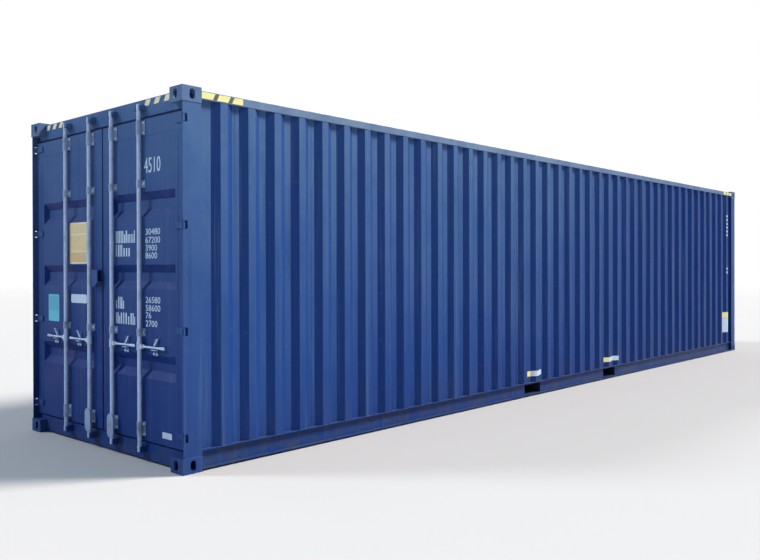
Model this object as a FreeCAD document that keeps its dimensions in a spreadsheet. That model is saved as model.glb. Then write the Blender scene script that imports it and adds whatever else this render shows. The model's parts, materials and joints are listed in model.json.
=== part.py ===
"""Forty-foot high-cube dry freight container, built in millimetres.

The frame: origin at the middle of the footprint on the ground, X along the
container with the doors at the low end, Y across it (left leaf at +Y when
facing the doors), Z up.
"""
import FreeCAD, Part
import os
import re
import Sketcher

DIMENSIONS = {
    # overall box and corner castings
    "length": 12192, "width": 2438, "height": 2896,
    "casting_length": 178, "casting_width": 162, "casting_height": 118,
    "casting_wall": 16, "casting_cap": 28, "casting_back": 10, "cut_past": 1,
    "slot_length": 124, "slot_width": 63.5, "slot_end_offset": 103.5, "slot_side_offset": 89.5,
    "window_width": 51, "window_height": 79.5, "window_offset": 92,
    # base frame
    "skin_inset": 4, "rail_bottom": 16, "rail_top": 162, "rail_flange": 48, "rail_thick": 6,
    "member_top": 142, "member_flange": 45, "member_thick": 4.5, "member_pitch": 300,
    "member_first_gap": 1400,
    "pocket_half_spacing": 1025, "pocket_clear": 360, "pocket_thick": 6, "pocket_strap": 300,
    "tunnel_length": 3315, "tunnel_clear": 1029, "tunnel_thick": 6,
    "floor_thick": 28, "floor_edge_gap": 2,
    # side walls
    "sheet": 2, "wave_pitch": 278, "wave_crest": 72, "wave_slope": 68, "wave_depth": 36,
    "wall_inset": 7,
    # roof and top rails
    "roof_drop": 24, "top_rail": 60, "top_rail_wall": 4, "roof_pitch": 209, "roof_crest": 91,
    "roof_slope": 13, "roof_rise": 16, "roof_margin": 69, "roof_edge": 19, "corner_plate": 4,
    # front end
    "front_post_wide": 100, "front_post_wall": 6, "front_wave_pitch": 250, "front_wave_crest": 110,
    "front_wave_slope": 18, "front_wave_depth": 45, "front_inset": 20, "front_sill_deep": 100,
    "front_sill_inset": 16, "tube_wall": 6,
    # door end frame
    "fin_inset": 8, "post_plate": 6, "post_box_wide": 51,
    "frame_face": 64, "header_tall": 134, "header_back": 162, "sill_top": 153, "sill_lip_step": 2,
    "notch_deep": 50, "notch_height": 64,
    # hinges
    "pin_depth": 15, "pin_side": 16, "pin_radius": 6, "knuckle_radius": 12, "bore_gap": 0.5,
    "blade_height": 50, "blade_length": 123, "blade_thick": 10, "blade_bend": 21, "blade_wrap": 3,
    "lug_height": 14, "lug_gap": 5, "lug_front": 10, "lug_lap": 9,
    "hinge_low_end": 98, "hinge_high_end": 60,
    # leaves
    "leaf_depth": 48, "leaf_thick": 50, "leaf_side": 21, "leaf_inner": 10,
    "leaf_low_gap": 17, "leaf_high_gap": 23, "stile": 100, "leaf_rail_high": 134, "leaf_rail_low": 114,
    "frame_wall": 4, "press_depth": 38, "press_height": 194, "press_floor": 68, "press_end": 26,
    "press_side": 138, "press_inner": 150, "press_high_share": 0.7356, "press_middle_share": 0.5096,
    "press_low_share": 0.2326,
    "seal_room": 10, "seal_lip_depth": 78, "seal_side_lip": 6, "seal_centre_lip": 5,
    "seal_gap": 0.5, "seal_land": 15,
    # lock gear
    "rod_radius": 17, "rod_bore": 13, "rod_low": 78, "rod_high_end": 60,
    "rod_outer": 600, "rod_inner": 184, "rod_gap": 1.5,
    "cam_radius": 20, "cam_reach": 33, "cam_half": 9, "cam_height": 40,
    "cam_low": 100, "cam_high_end": 88, "keeper_height": 46, "keeper_plate": 4,
    "keeper_out": 30, "keeper_out_face": 22.5, "keeper_out_depth": 10, "keeper_in": 46,
    "keeper_in_face": 38, "keeper_hook": 20.5, "keeper_hook_depth": 2, "keeper_hook_back": 9,
    "guide_wall": 3.5, "guide_leaf_gap": 3, "guide_height": 60, "guide_end_height": 114, "guide_width": 104,
    "guide_plate": 4, "guide_low_end": 92, "guide_high_end": 67, "guide_over_handle": 110,
    "guide_over_press": 162,
    "guard_width": 92, "guard_low": 130, "guard_high": 332, "guard_leg": 6,
    "guard_leg_offset": 30,
    "handle_level": 917, "hub_radius": 22, "hub_height": 64, "ear_thick": 5, "ear_height": 34,
    "pivot_offset": 36, "pivot_radius": 5, "handle_root_radius": 12, "handle_thick": 13,
    "handle_reach": 350, "handle_height": 26, "handle_gap": 1,
    "catch_offset": 200, "catch_plate": 5, "catch_width": 60, "catch_height": 130, "catch_gap": 4,
    "hasp_foot": 26, "hasp_width": 18, "hasp_lean": 52, "hasp_low": 8, "hasp_high": 70,
    "lock_box_left": 115, "lock_box_right": 11, "lock_box_low": 1379, "lock_box_high": 1521,
    "lock_box_depth": 2, "lock_box_wall": 4, "lock_box_cut": 45,
}

# Levels and widths that follow from the ones above. Each may lean on those before it.
DERIVED = {
    "post_deep": "casting_length",
    "post_box_depth": "leaf_depth + leaf_thick + seal_room",
    "seal_face": "post_box_depth - seal_gap",
    "rod_depth": "leaf_depth - rod_radius - rod_gap - guide_wall - guide_leaf_gap",
    "wall_top": "height - roof_drop - top_rail",
    "header_bottom": "wall_top + top_rail - header_tall",
    "floor_level": "member_top + floor_thick",
    "leaf_bottom": "sill_top + leaf_low_gap",
    "leaf_top": "header_bottom - leaf_high_gap",
    "leaf_low_rail": "leaf_bottom + leaf_rail_low",
    "leaf_top_rail": "leaf_top - leaf_rail_high",
    "hinge_low": "leaf_bottom + hinge_low_end",
    "hinge_high": "leaf_top - hinge_high_end",
    "press_high": "leaf_bottom + press_high_share * (leaf_top - leaf_bottom)",
    "press_middle": "leaf_bottom + press_middle_share * (leaf_top - leaf_bottom)",
    "press_low": "leaf_bottom + press_low_share * (leaf_top - leaf_bottom)",
    "rod_high": "height - rod_high_end",
    "cam_high": "height - cam_high_end",
    "guide_low": "leaf_bottom + guide_low_end",
    "guide_high": "leaf_top - guide_high_end",
    "guide_mid_low": "handle_level + guide_over_handle",
    "guide_mid_high": "press_high + guide_over_press",
    "roof_press_half": "width / 2 - roof_margin",
    "roof_edge_half": "width / 2 - roof_edge",
    "post_box_half": "width / 2 - post_box_wide",
    "pin_half": "width / 2 - pin_side",
    "leaf_outer": "width / 2 - leaf_side",
    "blade_reach": "leaf_outer - blade_length",
    "press_outer": "leaf_outer - press_side",
}

doc = FreeCAD.newDocument("Container")
sheet = doc.addObject("Spreadsheet::Sheet", "Dimensions")
for row, (alias, value) in enumerate(DIMENSIONS.items(), start=1):
    sheet.set("A%d" % row, alias)
    sheet.set("B%d" % row, str(value))
    sheet.setAlias("B%d" % row, alias)
doc.recompute()

NODES = {}


def linked(expression):
    """The expression with every dimension name pointed at the sheet."""
    text = str(expression)
    for name in reversed(DERIVED):
        text = re.sub(r"\b%s\b" % name, "(%s)" % DERIVED[name], text)
    return re.sub(r"[a-z_]+[a-z0-9_]*", lambda m: "Dimensions." + m.group()
                  if m.group() in DIMENSIONS else m.group(), text)


def value_of(expression):
    return float(sheet.evalExpression(linked(expression)))


def place(item, x="0", y="0", z="0"):
    for axis, amount in (("x", x), ("y", y), ("z", z)):
        item.setExpression("Placement.Base." + axis, linked(amount))
    return item


def box(name, x, y, z):
    """A block given by its low and high bounds along each axis."""
    item = doc.addObject("Part::Box", name)
    for prop, (low, high) in zip(("Length", "Width", "Height"), (x, y, z)):
        item.setExpression(prop, linked("(%s) - (%s)" % (high, low)))
    return place(item, x[0], y[0], z[0])


def upright(name, radius, x, y, low, high):
    """A round bar standing along Z."""
    item = doc.addObject("Part::Cylinder", name)
    item.setExpression("Radius", linked(radius))
    item.setExpression("Height", linked("(%s) - (%s)" % (high, low)))
    return place(item, x, y, low)


def crossways(name, radius, low, high, y, z):
    """A round bar lying along X."""
    item = doc.addObject("Part::Cylinder", name)
    item.Placement.Rotation = FreeCAD.Rotation(FreeCAD.Vector(0, 1, 0), 90)
    item.setExpression("Radius", linked(radius))
    item.setExpression("Height", linked("(%s) - (%s)" % (high, low)))
    return place(item, low, y, z)


def fuse(name, items):
    item = doc.addObject("Part::MultiFuse", name)
    item.Shapes = items
    item.Refine = True
    return item


def cut(name, base, tools):
    item = doc.addObject("Part::Cut", name)
    item.Base = base
    item.Tool = tools[0] if len(tools) == 1 else fuse(name + "Tools", tools)
    return item


def group(name, items):
    """Separate pieces held together in one compound."""
    item = doc.addObject("Part::Compound", name)
    item.Links = items
    return item


def mirrored(name, source, normal=(0, 1, 0)):
    item = doc.addObject("Part::Mirroring", name)
    item.Source = source
    item.Base = FreeCAD.Vector(0, 0, 0)
    item.Normal = FreeCAD.Vector(*normal)
    return item


def moved(name, source, x="0", y="0", z="0"):
    """A copy of a shape shifted along the axes."""
    item = doc.addObject("Part::Compound", name)
    item.Links = [source]
    return place(item, x, y, z)


def outline(body, plane_role, points):
    """A closed sketch whose every corner is tied to the sheet."""
    plane = [o for o in body.Origin.OriginFeatures if o.Role == plane_role][0]
    sketch = body.newObject("Sketcher::SketchObject", body.Name + "Outline")
    sketch.AttachmentSupport = [(plane, "")]
    sketch.MapMode = "FlatFace"
    corners = [(value_of(a), value_of(b)) for a, b in points]
    count = len(corners)
    for index, (a, b) in enumerate(corners):
        following = corners[(index + 1) % count]
        sketch.addGeometry(Part.LineSegment(FreeCAD.Vector(a, b, 0),
                                            FreeCAD.Vector(following[0], following[1], 0)), False)
    for index in range(count):
        sketch.addConstraint(Sketcher.Constraint("Coincident", index, 2, (index + 1) % count, 1))
    for index, (a, b) in enumerate(points):
        for kind, formula, amount in (("DistanceX", a, corners[index][0]),
                                      ("DistanceY", b, corners[index][1])):
            number = sketch.addConstraint(Sketcher.Constraint(kind, -1, 1, index, 1, amount))
            sketch.setExpression("Constraints[%d]" % number, linked(formula))
    return sketch


def prism(name, plane_role, points, low, high):
    """A sketched outline padded between two levels across its plane."""
    body = doc.addObject("PartDesign::Body", name)
    sketch = outline(body, plane_role, points)
    pad = body.newObject("PartDesign::Pad", name + "Pad")
    pad.Profile = sketch
    pad.setExpression("Length", linked("(%s) - (%s)" % (high, low)))
    body.Tip = pad
    if plane_role == "XY_Plane":
        return place(body, z=low)
    if plane_role == "YZ_Plane":
        return place(body, x=low)
    return place(body, y=high)


def waves(name, plane_role, points, pitch, count, low, high):
    """One wave of corrugated sheet padded and then repeated along its row."""
    body = doc.addObject("PartDesign::Body", name)
    sketch = outline(body, plane_role, points)
    pad = body.newObject("PartDesign::Pad", name + "Pad")
    pad.Profile = sketch
    pad.setExpression("Length", linked("(%s) - (%s)" % (high, low)))
    row = body.newObject("PartDesign::LinearPattern", name + "Row")
    row.Originals = [pad]
    row.Direction = (sketch, ["H_Axis"])
    row.setExpression("Length", linked("%s * (%d - 1)" % (pitch, count)))
    row.Occurrences = count
    body.Tip = row
    return body


def node(name, item):
    """Hand a finished piece over under its node name."""
    item.Label = name
    NODES[name] = item
    return item


def depth(amount):
    """X of a plane lying some way in from the door end."""
    return "-length / 2 + (%s)" % amount


def nose(amount):
    """X of a plane lying some way in from the front end."""
    return "length / 2 - (%s)" % amount


# ---- corner castings -------------------------------------------------------
def stadium(name, axis, width, height, x, y, z, reach):
    """A round-ended slot tool, long along its second direction, run along one axis."""
    half = "(%s - %s) / 2" % (height, width)
    if axis == "Z":
        middle = box(name + "Middle", ("%s - %s" % (x, half), "%s + %s" % (x, half)),
                     ("%s - %s / 2" % (y, width), "%s + %s / 2" % (y, width)), (z, z + " + " + reach))
        ends = [upright(name + "End%d" % i, width + " / 2", "%s %s %s" % (x, sign, half), y,
                        z, z + " + " + reach) for i, sign in enumerate("-+")]
        return [middle] + ends
    if axis == "X":
        middle = box(name + "Middle", (x, x + " + " + reach),
                     ("%s - %s / 2" % (y, width), "%s + %s / 2" % (y, width)),
                     ("%s - %s" % (z, half), "%s + %s" % (z, half)))
        ends = [crossways(name + "End%d" % i, width + " / 2", x, x + " + " + reach, y,
                          "%s %s %s" % (z, sign, half)) for i, sign in enumerate("-+")]
        return [middle] + ends
    middle = box(name + "Middle", ("%s - %s / 2" % (x, width), "%s + %s / 2" % (x, width)),
                 (y, y + " + " + reach), ("%s - %s" % (z, half), "%s + %s" % (z, half)))
    ends = []
    for i, sign in enumerate("-+"):
        end = doc.addObject("Part::Cylinder", name + "End%d" % i)
        end.Placement.Rotation = FreeCAD.Rotation(FreeCAD.Vector(1, 0, 0), -90)
        end.setExpression("Radius", linked(width + " / 2"))
        end.setExpression("Height", linked(reach))
        ends.append(place(end, x, y, "%s %s %s" % (z, sign, half)))
    return [middle] + ends


block = box("CastingBlock", (depth(0), depth("casting_length")), ("-width / 2",
                                                                  "-width / 2 + casting_width"),
            ("0", "casting_height"))
hollow = box("CastingHollow", (depth("casting_wall"), depth("casting_length - casting_back")),
             ("-width / 2 + casting_wall", "-width / 2 + casting_width - casting_back"),
             ("casting_cap", "casting_height - casting_back"))
reach = "(casting_cap + 2 * cut_past)"
slot = stadium("CastingSlot", "Z", "slot_width", "slot_length", depth("slot_end_offset"),
               "-width / 2 + slot_side_offset", "-cut_past", reach)
end_window = stadium("CastingEndWindow", "X", "window_width", "window_height", depth("-cut_past"),
                     "-width / 2 + window_offset", "casting_height / 2", "(casting_wall + 2 * cut_past)")
side_window = stadium("CastingSideWindow", "Y", "window_width", "window_height", depth("window_offset"),
                      "-width / 2 - cut_past", "casting_height / 2", "(casting_wall + 2 * cut_past)")
low_right = cut("CastingLowRight", block, [hollow] + slot + end_window + side_window)
low_left = mirrored("CastingLowLeft", low_right)
upper = mirrored("CastingHighRightRaw", low_right, (0, 0, 1))
high_right = moved("CastingHighRight", upper, z="height")
high_left = mirrored("CastingHighLeft", high_right)
door_castings = node("corner_castings_door_end", group("DoorCastings", [low_right, low_left, high_right,
                                                                       high_left]))
node("corner_castings_front_end", mirrored("FrontCastings", door_castings, (1, 0, 0)))

# ---- base frame ------------------------------------------------------------
rail_face = "-width / 2 + skin_inset"
rail_web = "(-width / 2 + skin_inset + rail_flange)"
inner_length = ("-length / 2 + casting_length", "length / 2 - casting_length")
pocket_floor = "(rail_bottom + pocket_thick)"
pocket_roof = "(member_top - pocket_thick)"
web_out = rail_web + " - rail_thick"
rail_angle = prism("BaseRailAngle", "YZ_Plane", [
    (rail_face, "rail_top - rail_thick"), (web_out, "rail_top - rail_thick"), (web_out, pocket_roof),
    (rail_web, pocket_roof), (rail_web, "rail_top"), (rail_face, "rail_top")], *inner_length)
rail_foot = box("BaseRailFoot", inner_length, (rail_face, rail_web), ("rail_bottom",
                                                                      "rail_bottom + rail_thick"))
right_rail = node("base_rail_right", group("BaseRailRight", [rail_angle, rail_foot]))
node("base_rail_left", mirrored("BaseRailLeft", right_rail))

web_ends = [inner_length[0]]
plates = []
sides = []
for index, sign in enumerate(("-", "")):
    centre = sign + "pocket_half_spacing"
    near, far = centre + " - pocket_clear / 2", centre + " + pocket_clear / 2"
    web_ends += [near, far]
    span = (near + " - pocket_thick", far + " + pocket_thick")
    plates.append(box("PocketRoof%d" % index, span, (rail_web, "-" + rail_web), (pocket_roof, "member_top")))
    strap = box("PocketStrap%d" % index, span, (rail_web, rail_web + " + pocket_strap"),
                ("rail_bottom", pocket_floor))
    plates += [strap, mirrored("PocketStrapLeft%d" % index, strap)]
    for side, (low, high) in enumerate(((span[0], near), (far, span[1]))):
        sides.append(box("PocketSide%d_%d" % (index, side), (low, high), (rail_web, "-" + rail_web),
                         (pocket_floor, pocket_roof)))
web_ends.append(inner_length[1])
node("pocket_plates", group("PocketPlates", plates))
node("pocket_sides", group("PocketSides", sides))
webs = [box("RailWeb%d" % i, (web_ends[2 * i], web_ends[2 * i + 1]), (web_out, rail_web),
            ("rail_bottom + rail_thick", pocket_roof)) for i in range(len(web_ends) // 2)]
right_webs = group("RailWebsRight", webs)
node("rail_webs", group("RailWebs", [right_webs, mirrored("RailWebsLeft", right_webs)]))


def member(name, x, low, high):
    """A cross member: a channel on edge, its flanges pointing to the front."""
    near, far = "%s" % x, "%s + member_flange" % x
    return prism(name, "XZ_Plane", [
        (near, "rail_bottom"), (far, "rail_bottom"), (far, "rail_bottom + member_thick"),
        (near + " + member_thick", "rail_bottom + member_thick"),
        (near + " + member_thick", "member_top - member_thick"), (far, "member_top - member_thick"),
        (far, "member_top"), (near, "member_top")], low, high)


tunnel_start = value_of("length / 2 - tunnel_length")
tunnel_web = "(tunnel_clear / 2 + tunnel_thick)"
members = []
middle_count = int(value_of("(pocket_half_spacing - pocket_clear / 2 - 2 * member_flange) / member_pitch"))
end_room = value_of("length / 2 - post_deep - member_first_gap - member_flange")
end_count = int(end_room // value_of("member_pitch")) + 1
positions = ["member_pitch * %d - member_flange / 2" % i for i in range(-middle_count, middle_count + 1)]
positions += ["member_first_gap + member_pitch * %d" % i for i in range(end_count)]
positions += ["-member_first_gap - member_pitch * %d - member_flange" % i for i in range(end_count)]
for index, x in enumerate(positions):
    if value_of(x) > tunnel_start - value_of("member_flange"):
        right = member("Outrigger%d" % index, x, rail_web, "-" + tunnel_web)
        members += [right, mirrored("OutriggerLeft%d" % index, right)]
    else:
        members.append(member("Member%d" % index, x, rail_web, "-" + rail_web))
node("cross_members", group("CrossMembers", members))

front_face = nose("front_sill_inset")
node("gooseneck_tunnel", prism("GooseneckTunnel", "YZ_Plane", [
    ("-" + tunnel_web, "rail_bottom"), ("-tunnel_clear / 2", "rail_bottom"),
    ("-tunnel_clear / 2", "member_top - tunnel_thick"), ("tunnel_clear / 2", "member_top - tunnel_thick"),
    ("tunnel_clear / 2", "rail_bottom"), (tunnel_web, "rail_bottom"), (tunnel_web, "member_top"),
    ("-" + tunnel_web, "member_top")], "length / 2 - tunnel_length", front_face))

floor_half = "(width / 2 - skin_inset - rail_flange - floor_edge_gap)"
floor_tongue = "(width / 2 - skin_inset - front_post_wide - floor_edge_gap)"
floor_z = ("member_top", "floor_level")
floor_main = box("FloorMain", (depth("post_deep"), nose("casting_length + floor_edge_gap")),
                 ("-" + floor_half, floor_half), floor_z)
floor_end = box("FloorEnd", (depth("post_deep"), nose("front_sill_inset + front_sill_deep")),
                ("-" + floor_tongue, floor_tongue), floor_z)
node("floor_boards", fuse("FloorBoards", [floor_main, floor_end]))

# ---- side walls ------------------------------------------------------------
WAVE_COUNT = int(value_of("length - 2 * casting_length") // value_of("wave_pitch"))
trough = "(wave_pitch - wave_crest - 2 * wave_slope)"


def wave_points(pitch, crest, slope, rise, flat):
    """One wave of sheet: crests at the rise, flats at zero, thickness below."""
    xs = ["0", flat + " / 2", flat + " / 2 + " + slope, flat + " / 2 + " + slope + " + " + crest,
          flat + " / 2 + 2 * " + slope + " + " + crest, pitch]
    ys = ["0", "0", rise, rise, "0", "0"]
    top = list(zip(xs, ys))
    under = [(a, b + " - sheet") for a, b in reversed(top)]
    return top + under


wall_wave = waves("SideWaves", "XY_Plane", wave_points("wave_pitch", "wave_crest", "wave_slope",
                                                       "wave_depth",
                                                       trough), "wave_pitch", WAVE_COUNT, "rail_top",
                                                       "wall_top")
place(wall_wave, "-wave_pitch * %d / 2" % WAVE_COUNT, "width / 2 - wall_inset - wave_depth", "rail_top")
flat_low = "width / 2 - wall_inset - wave_depth - sheet"
flat_high = "width / 2 - wall_inset - wave_depth"
door_flat = box("SideFlatDoor", ("-length / 2 + casting_length", "-wave_pitch * %d / 2" % WAVE_COUNT),
                (flat_low, flat_high), ("rail_top", "wall_top"))
nose_flat = box("SideFlatFront", ("wave_pitch * %d / 2" % WAVE_COUNT, "length / 2 - casting_length"),
                (flat_low, flat_high), ("rail_top", "wall_top"))
left_wall = node("side_wall_left", fuse("SideWallLeft", [wall_wave, door_flat, nose_flat]))
node("side_wall_right", mirrored("SideWallRight", left_wall))

# ---- top rails and roof ----------------------------------------------------
rail_out = "(width / 2 - skin_inset)"
rail_in = "(width / 2 - skin_inset - top_rail)"
tube = box("TopRailTube", inner_length, (rail_in, rail_out), ("wall_top", "wall_top + top_rail"))
core = box("TopRailCore", ("-length / 2 + casting_length - cut_past",
                           "length / 2 - casting_length + cut_past"),
           (rail_in + " + top_rail_wall", rail_out + " - top_rail_wall"),
           ("wall_top + top_rail_wall", "wall_top + top_rail - top_rail_wall"))
left_top = node("top_rail_left", cut("TopRailLeft", tube, [core]))
node("top_rail_right", mirrored("TopRailRight", left_top))

ROOF_COUNT = int(value_of("length - 2 * casting_length") // value_of("roof_pitch"))
roof_level = "(wall_top + top_rail)"
roof_flat = "(roof_pitch - roof_crest - 2 * roof_slope)"
roof_wave = waves("RoofWaves", "XZ_Plane",
                  wave_points("roof_pitch", "roof_crest", "roof_slope", "roof_rise", roof_flat),
                  "roof_pitch", ROOF_COUNT, "-roof_press_half", "roof_press_half")
place(roof_wave, "-roof_pitch * %d / 2" % ROOF_COUNT, "roof_press_half", roof_level + " + sheet")


def roof_cap(name, low, high):
    """The closed end of each pressed crest beside the rail."""
    points = [(roof_flat + " / 2", "-sheet"), (roof_flat + " / 2", "0"),
              (roof_flat + " / 2 + roof_slope", "roof_rise"),
              (roof_flat + " / 2 + roof_slope + roof_crest", "roof_rise"),
              (roof_flat + " / 2 + 2 * roof_slope + roof_crest", "0"),
              (roof_flat + " / 2 + 2 * roof_slope + roof_crest", "-sheet")]
    cap = prism(name + "One", "XZ_Plane", points, low, high)
    caps = []
    for number in range(ROOF_COUNT):
        shift = "roof_pitch * (%d - %d / 2)" % (number, ROOF_COUNT)
        caps.append(moved("%s%d" % (name, number), cap, shift, "0", roof_level + " + sheet"))
    return caps


caps = roof_cap("RoofCapLeft", "roof_press_half", "roof_press_half + sheet")
caps += roof_cap("RoofCapRight", "-roof_press_half - sheet", "-roof_press_half")
roof_strips = []
for index, (low, high) in enumerate((("roof_press_half", "roof_edge_half"),
                                     ("-roof_edge_half", "-roof_press_half"))):
    roof_strips.append(box("RoofStrip%d" % index, inner_length, (low, high),
                           (roof_level, roof_level + " + sheet")))
for index, (low, high) in enumerate((("-length / 2 + casting_length", "-roof_pitch * %d / 2" % ROOF_COUNT),
                                     ("roof_pitch * %d / 2" % ROOF_COUNT, "length / 2 - casting_length"))):
    roof_strips.append(box("RoofEnd%d" % index, (low, high), ("-roof_press_half", "roof_press_half"),
                           (roof_level, roof_level + " + sheet")))
node("roof_sheet", fuse("RoofSheet", [roof_wave] + caps + roof_strips))

plate_half = "(width / 2 - casting_width)"
door_plate = box("DoorCornerPlate", (depth("frame_face"), depth("casting_length")),
                 ("-" + plate_half, plate_half), (roof_level, roof_level + " + corner_plate"))
front_plate = box("FrontCornerPlate", (nose("casting_length"), nose("front_sill_inset")),
                  ("-" + plate_half, plate_half), (roof_level, roof_level + " + corner_plate"))
node("roof_end_plates", group("RoofEndPlates", [door_plate, front_plate]))

# ---- front end -------------------------------------------------------------
post_levels = ("casting_height", "height - casting_height")
post_out = "(width / 2 - skin_inset)"
post_in = "(width / 2 - skin_inset - front_post_wide)"
post_tube = box("FrontPostTube", (nose("casting_length"), nose("skin_inset")), (post_in, post_out),
                post_levels)
post_core = box("FrontPostCore", (nose("casting_length - front_post_wall"),
                                  nose("skin_inset + front_post_wall")),
                (post_in + " + front_post_wall", post_out + " - front_post_wall"),
                ("casting_height - cut_past", "height - casting_height + cut_past"))
left_post = node("front_post_left", cut("FrontPostLeft", post_tube, [post_core]))
node("front_post_right", mirrored("FrontPostRight", left_post))


def end_beam(name, x, z, wall):
    """A hollow beam between the posts, stepped in where it meets the castings."""
    corner = "(width / 2 - casting_width)"
    span = ("-" + corner, corner)
    low_x, high_x = x
    low_z, high_z = z
    shell = box(name + "Shell", (low_x, high_x), span, (low_z, high_z))
    void = box(name + "Void", (low_x + " + " + wall, high_x + " - " + wall),
               ("-" + corner + " - cut_past", corner + " + cut_past"), (low_z + " + " + wall,
                                                                        high_z + " - " + wall))
    return shell, void


sill_x = (nose("front_sill_inset + front_sill_deep"), front_face)
shell, void = end_beam("FrontSill", sill_x, ("rail_bottom", "floor_level"), "tube_wall")
tunnel_gap = box("FrontSillTunnel", (sill_x[0] + " - cut_past", sill_x[1] + " + cut_past"),
                 ("-" + tunnel_web, tunnel_web),
                 ("rail_bottom - cut_past", "member_top"))
foot_right = box("FrontSillFoot", (sill_x[0], sill_x[1]), (plate_half, post_in),
                 ("casting_height", "floor_level"))
foot_left = mirrored("FrontSillFootLeft", foot_right)
sill_hollow = cut("FrontSillHollow", shell, [void, tunnel_gap])
node("front_sill", fuse("FrontSill", [sill_hollow, foot_right, foot_left]))

header_x = (nose("front_inset + top_rail"), nose("front_inset"))
shell, void = end_beam("FrontHeader", header_x, ("height - casting_height", roof_level), "top_rail_wall")
node("front_header", cut("FrontHeaderTube", shell, [void]))

FRONT_COUNT = int(value_of("2 * " + post_in) // value_of("front_wave_pitch"))
front_flat = "(front_wave_pitch - front_wave_crest - 2 * front_wave_slope)"
front_wave = waves("FrontWaves", "XY_Plane",
                   wave_points("front_wave_pitch", "front_wave_crest", "front_wave_slope",
                               "front_wave_depth", front_flat),
                   "front_wave_pitch", FRONT_COUNT, "floor_level", "height - casting_height")
front_wave.Placement.Rotation = FreeCAD.Rotation(FreeCAD.Vector(0, 0, 1), -90)
front_root = nose("front_inset + front_wave_depth")
place(front_wave, front_root, "front_wave_pitch * %d / 2" % FRONT_COUNT, "floor_level")
front_edges = []
for index, (low, high) in enumerate((("front_wave_pitch * %d / 2" % FRONT_COUNT, post_in),
                                     ("-" + post_in, "-front_wave_pitch * %d / 2" % FRONT_COUNT))):
    front_edges.append(box("FrontFlat%d" % index, (front_root + " - sheet", front_root), (low, high),
                           ("floor_level", "height - casting_height")))
node("front_wall", fuse("FrontWall", [front_wave] + front_edges))

# ---- door end frame --------------------------------------------------------
# Left-hand pieces are built at +Y and mirrored for the right.
fin_out = "(width / 2 - skin_inset)"
fin_in = "(width / 2 - skin_inset - post_plate)"
HINGE_LEVELS = ["hinge_low + (hinge_high - hinge_low) * %d / 3" % i for i in range(4)]
fin = box("PostFin", (depth("fin_inset"), depth("post_deep")), (fin_in, fin_out), post_levels)
post_shell = box("PostShell", (depth("post_box_depth"), depth("post_deep")), ("post_box_half", fin_out),
                 post_levels)
post_void = box("PostVoid", (depth("post_box_depth + post_plate"), depth("post_deep - post_plate")),
                ("post_box_half + post_plate", fin_in), ("casting_height - cut_past",
                                                         "height - casting_height + cut_past"))
notches = []
for index, level in enumerate(HINGE_LEVELS):
    notches.append(box("PostNotch%d" % index, (depth(0), depth("notch_deep")), (fin_in + " - cut_past",
                                                                                fin_out + " + cut_past"),
                       ("%s - notch_height / 2" % level, "%s + notch_height / 2" % level)))
left_door_post = node("door_post_left", cut("DoorPostLeft", fuse("DoorPostPlates", [fin, post_shell]),
                                            [post_void] + notches))
node("door_post_right", mirrored("DoorPostRight", left_door_post))

wide = ("-post_box_half", "post_box_half")
narrow = ("-" + plate_half, plate_half)
past_wide = ("-post_box_half - cut_past", "post_box_half + cut_past")
past_narrow = ("-" + plate_half + " - cut_past", plate_half + " + cut_past")
under_casting = "height - casting_height"
header_low = box("DoorHeaderLow", (depth("frame_face"), depth("header_back")), wide,
                 ("header_bottom", under_casting))
header_high = box("DoorHeaderHigh", (depth("frame_face"), depth("header_back")), narrow,
                  (under_casting, roof_level))
header_core = (depth("frame_face + tube_wall"), depth("header_back - tube_wall"))
header_void_low = box("DoorHeaderVoidLow", header_core, past_wide,
                      ("header_bottom + tube_wall", under_casting))
header_void_high = box("DoorHeaderVoidHigh", header_core, past_narrow,
                       ("header_bottom + tube_wall", roof_level + " - tube_wall"))
node("door_header", cut("DoorHeader", fuse("DoorHeaderShell", [header_low, header_high]),
                        [header_void_low, header_void_high]))

sill_step = "(post_box_depth + sill_lip_step)"
sill_low = box("DoorSillLow", (depth("frame_face"), depth("post_deep")), narrow, ("rail_bottom", "sill_top"))
sill_wing = box("DoorSillWing", (depth("frame_face"), depth("post_deep")), wide, ("casting_height",
                                                                                  "sill_top"))
sill_lip = box("DoorSillLip", (depth(sill_step), depth("post_deep")), wide, ("sill_top - cut_past",
                                                                             "floor_level"))
sill_core = (depth("frame_face + tube_wall"), depth("post_deep - tube_wall"))
sill_void_low = box("DoorSillVoidLow", sill_core, past_narrow,
                    ("rail_bottom + tube_wall", "sill_top - tube_wall"))
sill_void_wing = box("DoorSillVoidWing", sill_core, past_wide, ("casting_height", "sill_top - tube_wall"))
sill_void_lip = box("DoorSillVoidLip", (depth(sill_step + " + tube_wall"), depth("post_deep - tube_wall")),
                    past_wide, ("casting_height", "floor_level - tube_wall"))
node("door_sill", cut("DoorSill", fuse("DoorSillShell", [sill_low, sill_wing, sill_lip]),
                      [sill_void_low, sill_void_wing, sill_void_lip]))

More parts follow.
